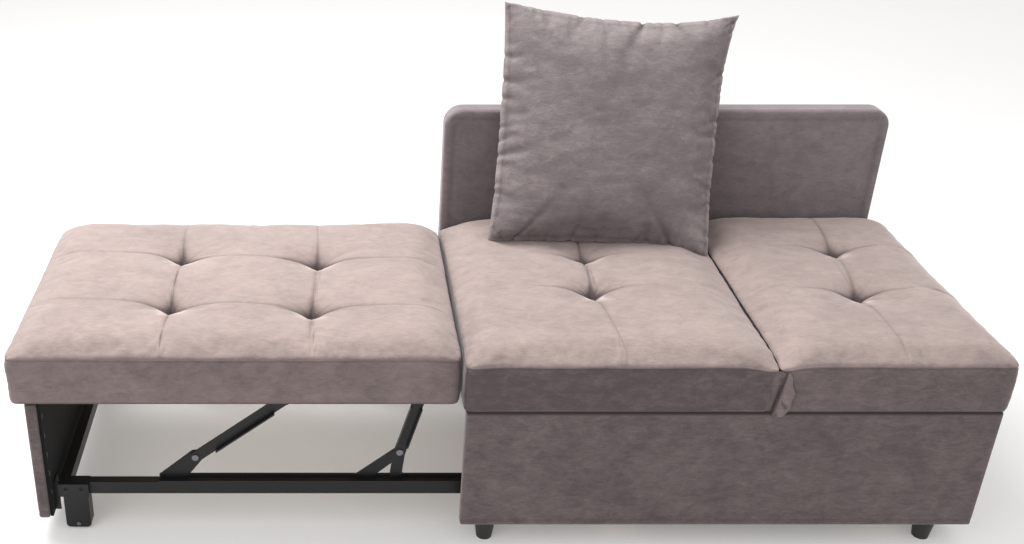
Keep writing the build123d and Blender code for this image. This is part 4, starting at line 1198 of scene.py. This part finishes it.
def make_back():
    rim, out = back_rim()
    n = len(rim)
    centre = np.array([(back_low.x + back_high.x) / 2, (back_low.z + back_high.z) / 2])
    front, rear, board = back_low.y, back_high.y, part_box("back_board")[0].y
    flat = rim - out * front_round
    rings = [(flat * share + centre * (1 - share), front) for share in np.linspace(0, 1, 46)[1:-1]]
    edges = [(front_round * (1 - math.sin(turn)), front + front_round * (1 - math.cos(turn)))
             for turn in np.radians(np.linspace(0, 90, 7))]
    edges += [(0.0, y) for y in np.linspace(front + front_round, rear - rear_round, 6)[1:]]
    edges += [(rear_round * (1 - math.cos(turn)), rear - rear_round + rear_round * math.sin(turn))
              for turn in np.radians(np.linspace(15, 90, 5))]
    edges += [(0.0073, rear), (rim_width, rear - 0.0015), (rim_width, board - clear)]
    rings += [(rim - out * inset, y) for inset, y in edges]
    points = [(x, y, z) for ring, y in rings for x, z in ring]
    faces = faces_between(len(rings), n, closed=True)
    faces += [(len(points), k, (k + 1) % n) for k in range(n)]
    faces.append(tuple(range(len(points) - 1, len(points) - n - 1, -1)))
    points.append((centre[0], front, centre[1]))
    piece = new_piece("back_cover", points, faces)
    face_outwards(piece)
    return piece


back = make_back()
print("back points", len(back.data.vertices))

# %% The back's foam, and the line where its cover is drawn round the edge
draw_line = 0.020
points, normal = points_of(back), normals_of(back)
from_rim = np.min([points[:, 0] - back_low.x, back_high.x - points[:, 0], back_high.z - points[:, 2]], axis=0)
facing = ease((-normal[:, 1] - 0.3) / 0.5)
above_seat = ease((points[:, 2] - 0.462) / 0.05)
puff = facing * above_seat * ease(from_rim / 0.07) * 0.003375
lumpy = facing * ease(from_rim / 0.03) * (lump_layers(points, (0.0010, (0.2, 0.2, 0.14), 71),
                                                      (0.0005, (0.08, 0.08, 0.03), 73)) - 0.0012)
drawn = 0.0010 * facing * bell(from_rim - draw_line, 0.006)
set_points(back, points + normal * (lumpy - drawn)[:, None] + np.array([0, -1, 0]) * puff[:, None])
smooth(back)
back.data.set_sharp_from_angle(angle=math.radians(50))
# Painted light: paler where the back faces up, with a pale painted highlight just inside its rim; painted shade along
# the line where the cover is drawn round.
level = ease((normals_of(back)[:, 2] - 0.2) / 0.6)
paint(back, "nap", np.clip(0.12 + 0.30 * level + 0.12 * bell(from_rim - 0.010, 0.006), 0, 1))
paint(back, "crease", 0.25 * facing * bell(from_rim - draw_line, 0.004))
back.data.materials.append(shaded_back_velvet)
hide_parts("back_pad")
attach(back, "sofa_body")
print("back swells by", round(puff.max() / mm, 1), "mm")

# %% [markdown]
# ## The gussets at the fold
# Where the head end folds up, a triangle of cloth closes each side of the gap, so that no hand gets
# between the hinge arms. It is sewn to both bands and folds outwards when the bed is flat. It belongs
# to both cushions.

# %% A folded gusset at the front and one behind
fold_apex, fold_base = 0.4110, 0.3190
gusset_across, gusset_levels = 41, 30
seat_edge_x, gusset_cloth = 0.5155, 0.0012


def fold_gusset(name, face_y, outward, flap):
    """A pleat: from the seat's band out to a tip, and back under itself to the head's band."""
    points, shades, painted_lights = [], [], []
    for k in range(gusset_levels):
        h = k / (gusset_levels - 1)
        z = fold_apex + (fold_base - fold_apex) * h
        sewn = 0.4965 - 0.006 * h
        ridge_start = 0.5225 - 0.0165 * h
        width = 0.003 + 0.024 * math.sin(math.pi * min(1, 0.72 * h)) + 0.0016 * math.sin(17 * h)
        for i in range(gusset_across):
            t = i / (gusset_across - 1)
            flat, rise, under = min(t / 0.25, 1), min(max((t - 0.25) / 0.5, 0), 1), max((t - 0.75) / 0.25, 0)
            x = sewn + (ridge_start - sewn) * flat + width * rise - 0.4 * width * under
            resting = -0.003 if x < seat_edge_x and rise == 0 else 0.0036
            crumple = 0.0024 * math.sin(19 * h - 6 * rise) * math.sin(math.pi * rise) * h
            swing = math.sin(0.5 * math.pi * min(1, 2.2 * rise)) * (0.35 + 0.65 * h) * (1 - under)
            out = resting + flap * swing + crumple
            points.append((x, face_y + outward * out, z - 0.002 * math.sin(math.pi * rise) * h))
            # Painted shade along the sewn line, under the fold and in the crumples, and painted light on the flap as
            # it rises.
            shades.append(bell(t - 0.25, 0.045) + 0.8 * ease(under) + 0.5 * (crumple < -0.0011))
            painted_lights.append(0.02 + 0.30 * ease(rise / 0.35) * (0.6 + 150 * crumple))
    faces = faces_between(gusset_levels, gusset_across)
    if outward > 0:
        faces = [tuple(reversed(f)) for f in faces]
    piece = new_piece(name, points, faces)
    paint(piece, "nap", np.clip(painted_lights, 0, 1))
    paint(piece, "crease", np.clip(shades, 0, 1))
    wall = piece.modifiers.new("cloth", "SOLIDIFY")
    wall.thickness, wall.offset = gusset_cloth, 0.0
    apply_modifiers(piece)
    subdivide(piece)
    smooth(piece)
    piece.data.materials.append(sofa_velvet)
    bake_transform(piece)
    return piece


front_gusset = fold_gusset("fold_gusset_front", -0.3500, -1, 0.0065)
rear_gusset = fold_gusset("fold_gusset_rear", 0.2995, 1, 0.0010)
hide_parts("fold_gussets")
print("gussets", len(front_gusset.data.vertices), len(rear_gusset.data.vertices))

# %% [markdown]
# ## Staples, screws and tuft threads
# Linings are held by a row of staples, brackets by screws, and each tuft by a thread. One of each is
# made and then repeated: Geometry Nodes walk along a path or over a few points and set a copy at each.
# The row's pitch, the size and the small errors of a hand at work are inputs, so one tree does for all.


# %% The start of every repeating tree
def repeating_tree(name, sizes):
    tree = bpy.data.node_groups.new(name, "GeometryNodeTree")
    tree.interface.new_socket("Geometry", in_out="INPUT", socket_type="NodeSocketGeometry")
    for label, kind in sizes:
        tree.interface.new_socket(label, in_out="INPUT", socket_type="NodeSocket" + kind)
    tree.interface.new_socket("Geometry", in_out="OUTPUT", socket_type="NodeSocketGeometry")
    return tree, tree.nodes.new("NodeGroupInput"), tree.nodes.new("NodeGroupOutput")


trial = repeating_tree("trial", [("Pitch", "Float")])[0]
print("a tree with one size has", len(trial.interface.items_tree), "sockets")
bpy.data.node_groups.remove(trial)


# %% Links, and copies set on points
def join(tree, *pairs):
    """Links (node, output name) to (node, input name)."""
    for (source, out), (target, into) in pairs:
        tree.links.new(source.outputs[out], target.inputs[into])


def scaled(tree, output, amount):
    """The output times a fixed amount."""
    times = add_node(tree, "ShaderNodeMath", operation="MULTIPLY")
    times.inputs[1].default_value = amount
    tree.links.new(output, times.inputs[0])
    return times.outputs[0]


def turned_copies(tree, given, facing, start, points, copy):
    """Copies at the points, faced along facing and turned by a small random amount, made real."""
    face = add_node(tree, "FunctionNodeAlignRotationToVector", axis="Z")
    face.pivot_axis = "X" if start else "AUTO"
    error = add_node(tree, "FunctionNodeRandomValue", data_type="FLOAT")
    about = add_node(tree, "ShaderNodeCombineXYZ")
    turn = add_node(tree, "FunctionNodeEulerToRotation")
    both = add_node(tree, "FunctionNodeRotateRotation", rotation_space="LOCAL")
    place = add_node(tree, "GeometryNodeInstanceOnPoints")
    real = add_node(tree, "GeometryNodeRealizeInstances")
    paintwork = add_node(tree, "GeometryNodeSetMaterial")
    if start:
        join(tree, ((start, "Rotation"), (face, "Rotation")))
    for output, into in ((facing, face.inputs["Vector"]), (scaled(tree, given.outputs["Turn"], -1), error.inputs[2]),
                         (given.outputs["Turn"], error.inputs[3]), (error.outputs[1], about.inputs["Z"]),
                         (about.outputs[0], turn.inputs[0]), (turn.outputs[0], both.inputs["Rotate By"]),
                         (points, place.inputs["Points"]), (copy, place.inputs["Instance"])):
        tree.links.new(output, into)
    join(tree, ((given, "Seed"), (error, "Seed")), ((face, "Rotation"), (both, "Rotation")),
         ((both, "Rotation"), (place, "Rotation")), ((place, "Instances"), (real, "Geometry")),
         ((real, "Geometry"), (paintwork, "Geometry")), ((given, "Finish"), (paintwork, "Material")))
    return paintwork


print("node groups left from the trial", len(bpy.data.node_groups))


# %% A row of staples along a path
staple_row, given, made = repeating_tree("staple_row", [
    ("Pitch", "Float"), ("Facing", "Vector"), ("Crown", "Float"), ("Wire", "Float"), ("Turn", "Float"),
    ("Seed", "Int"), ("Finish", "Material")])
to_curve = add_node(staple_row, "GeometryNodeMeshToCurve")
spaced = add_node(staple_row, "GeometryNodeResampleCurve", mode="LENGTH")
tangent = add_node(staple_row, "GeometryNodeInputTangent")
follow = add_node(staple_row, "FunctionNodeAlignRotationToVector", axis="X")
wire_line = add_node(staple_row, "GeometryNodeCurvePrimitiveLine")
wire_round = add_node(staple_row, "GeometryNodeCurvePrimitiveCircle", Resolution=6)
staple = add_node(staple_row, "GeometryNodeCurveToMesh")
staple.inputs["Fill Caps"].default_value = True
for amount, into in ((0.5, "End"), (-0.5, "Start")):
    end = add_node(staple_row, "ShaderNodeCombineXYZ")
    staple_row.links.new(scaled(staple_row, given.outputs["Crown"], amount), end.inputs["X"])
    staple_row.links.new(end.outputs[0], wire_line.inputs[into])
join(staple_row, ((given, "Geometry"), (to_curve, "Mesh")), ((to_curve, "Curve"), (spaced, "Curve")),
     ((given, "Pitch"), (spaced, "Length")), ((tangent, "Tangent"), (follow, "Vector")),
     ((given, "Wire"), (wire_round, "Radius")), ((wire_line, "Curve"), (staple, "Curve")),
     ((wire_round, "Curve"), (staple, "Profile Curve")))
last = turned_copies(staple_row, given, given.outputs["Facing"], follow, spaced.outputs["Curve"],
                     staple.outputs["Mesh"])
join(staple_row, ((last, "Geometry"), (made, "Geometry")))
print("staple tree nodes", len(staple_row.nodes))

# %% Copies of one piece on points that say which way they face
fixing_set, given, made = repeating_tree("fixing_set", [
    ("Fixing", "Object"), ("Turn", "Float"), ("Seed", "Int"), ("Finish", "Material")])
facing = add_node(fixing_set, "GeometryNodeInputNamedAttribute", data_type="FLOAT_VECTOR", Name="facing")
fixing = add_node(fixing_set, "GeometryNodeObjectInfo")
last = turned_copies(fixing_set, given, facing.outputs["Attribute"], None, given.outputs["Geometry"],
                     fixing.outputs["Geometry"])
join(fixing_set, ((given, "Fixing"), (fixing, "Object")), ((last, "Geometry"), (made, "Geometry")))
print("fixing tree nodes", len(fixing_set.nodes))


# %% Running a repeating tree
def repeat(name, base, tree, body, slot, **inputs):
    """Runs a repeating tree on base, keeps the result as a plain mesh, and lets it ride on body."""
    work = base.modifiers.new("repeat", "NODES")
    work.node_group = tree
    for item in tree.interface.items_tree:
        if item.in_out == "INPUT" and item.name in inputs:
            work[item.identifier] = inputs[item.name]
    apply_modifiers(base)
    base.name = base.data.name = name
    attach(base, body)
    print(name, "triangles", triangles_of(base))


def staple_loop(name, corners, body, **inputs):
    """Staples along a closed loop through the corners."""
    count = len(corners)
    base = new_piece(name, corners, [], [(k, (k + 1) % count) for k in range(count)])
    repeat(name, base, staple_row, body, "bright_steel", Crown=0.0105, Wire=wire, Finish=bright_steel, **inputs)


# %% Staples round the black linings
wire, inset, round_in = 0.00055, 0.009, 0.034
low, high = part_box("back_lining")
behind = high.y + wire * 0.4
left, right, foot, top = low.x + inset, high.x - inset, low.z + inset, high.z - inset
turns = [math.radians(a) for a in range(0, 91, 15)]
loop = [(left, behind, foot), (right, behind, foot)]
loop += [(right - round_in + round_in * math.cos(a), behind, top - round_in + round_in * math.sin(a)) for a in turns]
loop += [(left + round_in - round_in * math.sin(a), behind, top - round_in + round_in * math.cos(a)) for a in turns]
staple_loop("back_staples", loop, "sofa_body", Pitch=0.042, Facing=(0.0, 1.0, 0.0), Turn=0.10, Seed=4)
low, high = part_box("end_board_lining")
face = high.x + wire * 0.4
loop = [(face, low.y + inset, low.z + inset), (face, high.y - inset, low.z + inset),
        (face, high.y - inset, high.z - inset), (face, low.y + inset, high.z - inset)]
staple_loop("end_board_staples", loop, "drawer", Pitch=0.046, Facing=(1.0, 0.0, 0.0), Turn=0.12, Seed=9)


# %% One screw head and one tuft thread
def screw_head(radius, height):
    """A pan head with a cross recess, standing on the plane z = 0."""
    segments, rings = 24, [1.0, 0.97, 0.86, 0.70, 0.54, 0.40, 0.26, 0.13]
    circle = [(math.cos(k * math.tau / segments), math.sin(k * math.tau / segments)) for k in range(segments)]
    points = [(radius * x, radius * y, -0.0003) for x, y in circle]
    for share in rings:
        dome = height * (math.sqrt(1 - 0.75 * share ** 2) - 0.5) / 0.5
        for x, y in circle:
            in_cross = share < 0.6 and min(abs(share * x), abs(share * y)) < 0.105
            points.append((share * x * radius, share * y * radius, dome * (0.25 if in_cross else 1)))
    points.append((0, 0, height * 0.2))
    faces = faces_between(len(rings) + 1, segments, closed=True, along_first=True)
    last_ring = len(rings) * segments
    faces += [(last_ring + k, last_ring + (k + 1) % segments, len(points) - 1) for k in range(segments)]
    faces.append(tuple(range(segments - 1, -1, -1)))
    return new_piece("screw_head", points, faces)


def thread_loop(length, thick):
    """A bight of thread that dips at its ends, as a closed tube."""
    steps, sides = 10, 6
    points = []
    for k in range(steps + 1):
        t = k / steps * 2 - 1
        size = thick * (1 - 0.6 * t ** 6)
        for side in range(sides):
            a = side * math.tau / sides
            points.append((t * length / 2, size * math.cos(a), 0.0016 * (1 - t * t) + size * math.sin(a)))
    faces = faces_between(steps + 1, sides, closed=True)
    faces += [tuple(range(sides)), tuple(range((steps + 1) * sides - 1, steps * sides - 1, -1))]
    piece = new_piece("thread_loop", points, faces)
    face_outwards(piece)
    smooth(piece)
    return piece


pan_head = screw_head(0.0046, 0.0022)
thread = thread_loop(0.0085, 0.0007)
print("screw head triangles", triangles_of(pan_head), "thread triangles", triangles_of(thread))


# %% Where fixings go
def fixing_points(name, spots):
    """A mesh of loose points, each with the way it faces."""
    piece = new_piece(name, [spot for spot, _ in spots], [])
    layer = piece.data.attributes.new("facing", "FLOAT_VECTOR", "POINT")
    layer.data.foreach_set("vector", np.array([way for _, way in spots], np.float32).ravel())
    return piece


def touch(node, start, way):
    """Where a line from start along way first meets a CAD node, and the surface's direction there."""
    hit, place, normal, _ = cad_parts[node].ray_cast(Vector(start), Vector(way))
    return [(tuple(place), tuple(normal))] if hit else []


housing_spot, housing_way = touch("leg_housing_front", (-0.876, -0.6, 0.101), (0, 1, 0))[0]
print("the front leg housing is met at y", round(housing_spot[1], 3), "and faces", np.round(housing_way, 1))

# %% Screws on the drawer's brackets
spots = []
for y, way, leg in ((-0.6, 1, "leg_housing_front"), (0.6, -1, "leg_housing_rear")):
    for node, xs, z in (("strut_brackets", (-0.680, -0.603), 0.1235), ("link_brackets", (-0.280, -0.193), 0.1235),
                        (leg, (-0.876, -0.846), 0.101)):
        for x in xs:
            spots += touch(node, (x, y, z), (0, way, 0))
repeat("bracket_screws", fixing_points("bracket_screws", spots), fixing_set, "drawer", "black_steel",
       Fixing=pan_head, Turn=3.1, Seed=2, Finish=black_steel)
print("screws", len(spots))

# %% A thread in each tuft, two turns of it, at the lowest point of the cloth
for cushion, tufts, body, name in ((pull_cushion, pull_tufts, "pullout_cushion_unit", "pullout_tuft_threads"),
                                   (seat_cushion, seat_tufts, "sofa_body", "seat_tuft_threads"),
                                   (head_cushion, head_tufts, "head_unit", "head_tuft_threads")):
    cloth_points = points_of(cushion)
    spots = []
    for tuft in tufts:
        near = cloth_points[(tuft_distance(cloth_points, [tuft]) < 0.006) & (cloth_points[:, 2] > 0.39)]
        x, y, z = near[np.argmin(near[:, 2])]
        spots += [((x, y, z), (0, 0, 1)), ((x + 0.0008, y, z + 0.0002), (0, 0, 1))]
    repeat(name, fixing_points(name, spots), fixing_set, body, "velvet", Fixing=thread, Turn=1.2, Seed=7,
           Finish=shaded_back_velvet)
for pattern in (pan_head, thread):
    bpy.data.objects.remove(pattern)

# %% [markdown]
# ## The parts that keep their own shape
# Rails, boards, brackets, pins and wheels are already right as packed. Each only gets its finish.

# %% Finishes for the imported parts
finishes = [
    (rail_timber, "timber", ["bottom_rails", "deck_rails", "back_board"]),
    (post_timber, "timber", ["corner_blocks", "foot_blocks", "back_spacers"]),
    (ply_board, "timber", ["seat_deck", "seat_board", "head_board", "pullout_board"]),
    (black_lining, "black_lining", ["back_lining", "end_board_lining"]),
    (black_steel, "black_steel", [
        "leg_housing_front", "leg_housing_rear", "drawer_rail_front", "drawer_rail_rear", "lift_base_bars",
        "board_brackets", "cross_bars", "guide_track_front", "guide_track_rear", "mouth_brackets", "strut_brackets",
        "link_brackets", "strut_front", "strut_rear", "short_link_front", "short_link_rear", "top_bars",
        "link_cross_tube", "strut_cross_tube", "hinge_fixed_arms", "hinge_moving_arms"]),
    (bright_steel, "bright_steel", ["foot_screws", "back_bolts", "hinge_pins", "roller_axles", "link_pins",
                                    "strut_pins"]),
    (black_plastic, "black_plastic", [
        "foot_front_left", "foot_front_right", "foot_rear_left", "foot_rear_right", "floor_roller_front",
        "floor_roller_rear", "track_wheel_front", "track_wheel_rear", "mouth_roller_front", "mouth_roller_rear"])]
for finish, slot, nodes in finishes:
    for node in nodes:
        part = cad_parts[node]
        part.data.materials.clear()
        part.data.materials.append(finish)
print("finished parts", sum(len(nodes) for _, _, nodes in finishes))

# %% [markdown]
# ## The studio
# A pale floor and two big soft lights, one above and behind, one in front, and an even pale sky. The
# floor glows very slightly, as a lit paper background does.

# %% Floor
floor_edge = 60
floor = new_piece("floor", [(x * floor_edge, y * floor_edge, 0) for x, y in ((-1, -1), (1, -1), (1, 1), (-1, 1))],
                  [(0, 1, 2, 3)])
floor_finish, floor_tree, floor_shader = new_finish("pale_floor")
floor_tree.links.new(tones(floor_tree, object_noise(floor_tree, 0.8, 3), [(0, (0.80,) * 3), (1, (0.86,) * 3)]),
                     floor_shader.inputs["Base Color"])
set_sockets(floor_shader, {"Roughness": 0.6, "Emission Color": (1, 1, 1, 1), "Emission Strength": 0.16})
floor.data.materials.append(floor_finish)
print("floor", 2 * floor_edge, "m wide")

# %% Soft studio light
world = bpy.data.worlds.new("studio")
bpy.context.scene.world = world
world.use_nodes = True
set_sockets(world.node_tree.nodes["Background"], {"Color": (1, 0.99, 0.98, 1), "Strength": 0.82})


def soft_light(name, place, aim, size, power):
    data = bpy.data.lights.new(name, "AREA")
    data.shape, data.size, data.energy = "DISK", size, power
    lamp = bpy.data.objects.new(name, data)
    bpy.context.scene.collection.objects.link(lamp)
    lamp.location = place
    lamp.rotation_euler = (Vector(aim) - Vector(place)).to_track_quat("-Z", "Y").to_euler()


soft_light("key_light", (-1.3, 0.9, 3.0), (0.0, 0, 0.4), 2.4, 92)
soft_light("front_fill", (-2.4, -2.6, 2.0), (0, 0, 0.4), 2.4, 24)
bpy.context.scene.view_settings.view_transform = "Standard"
print("lights", len(bpy.data.lights))
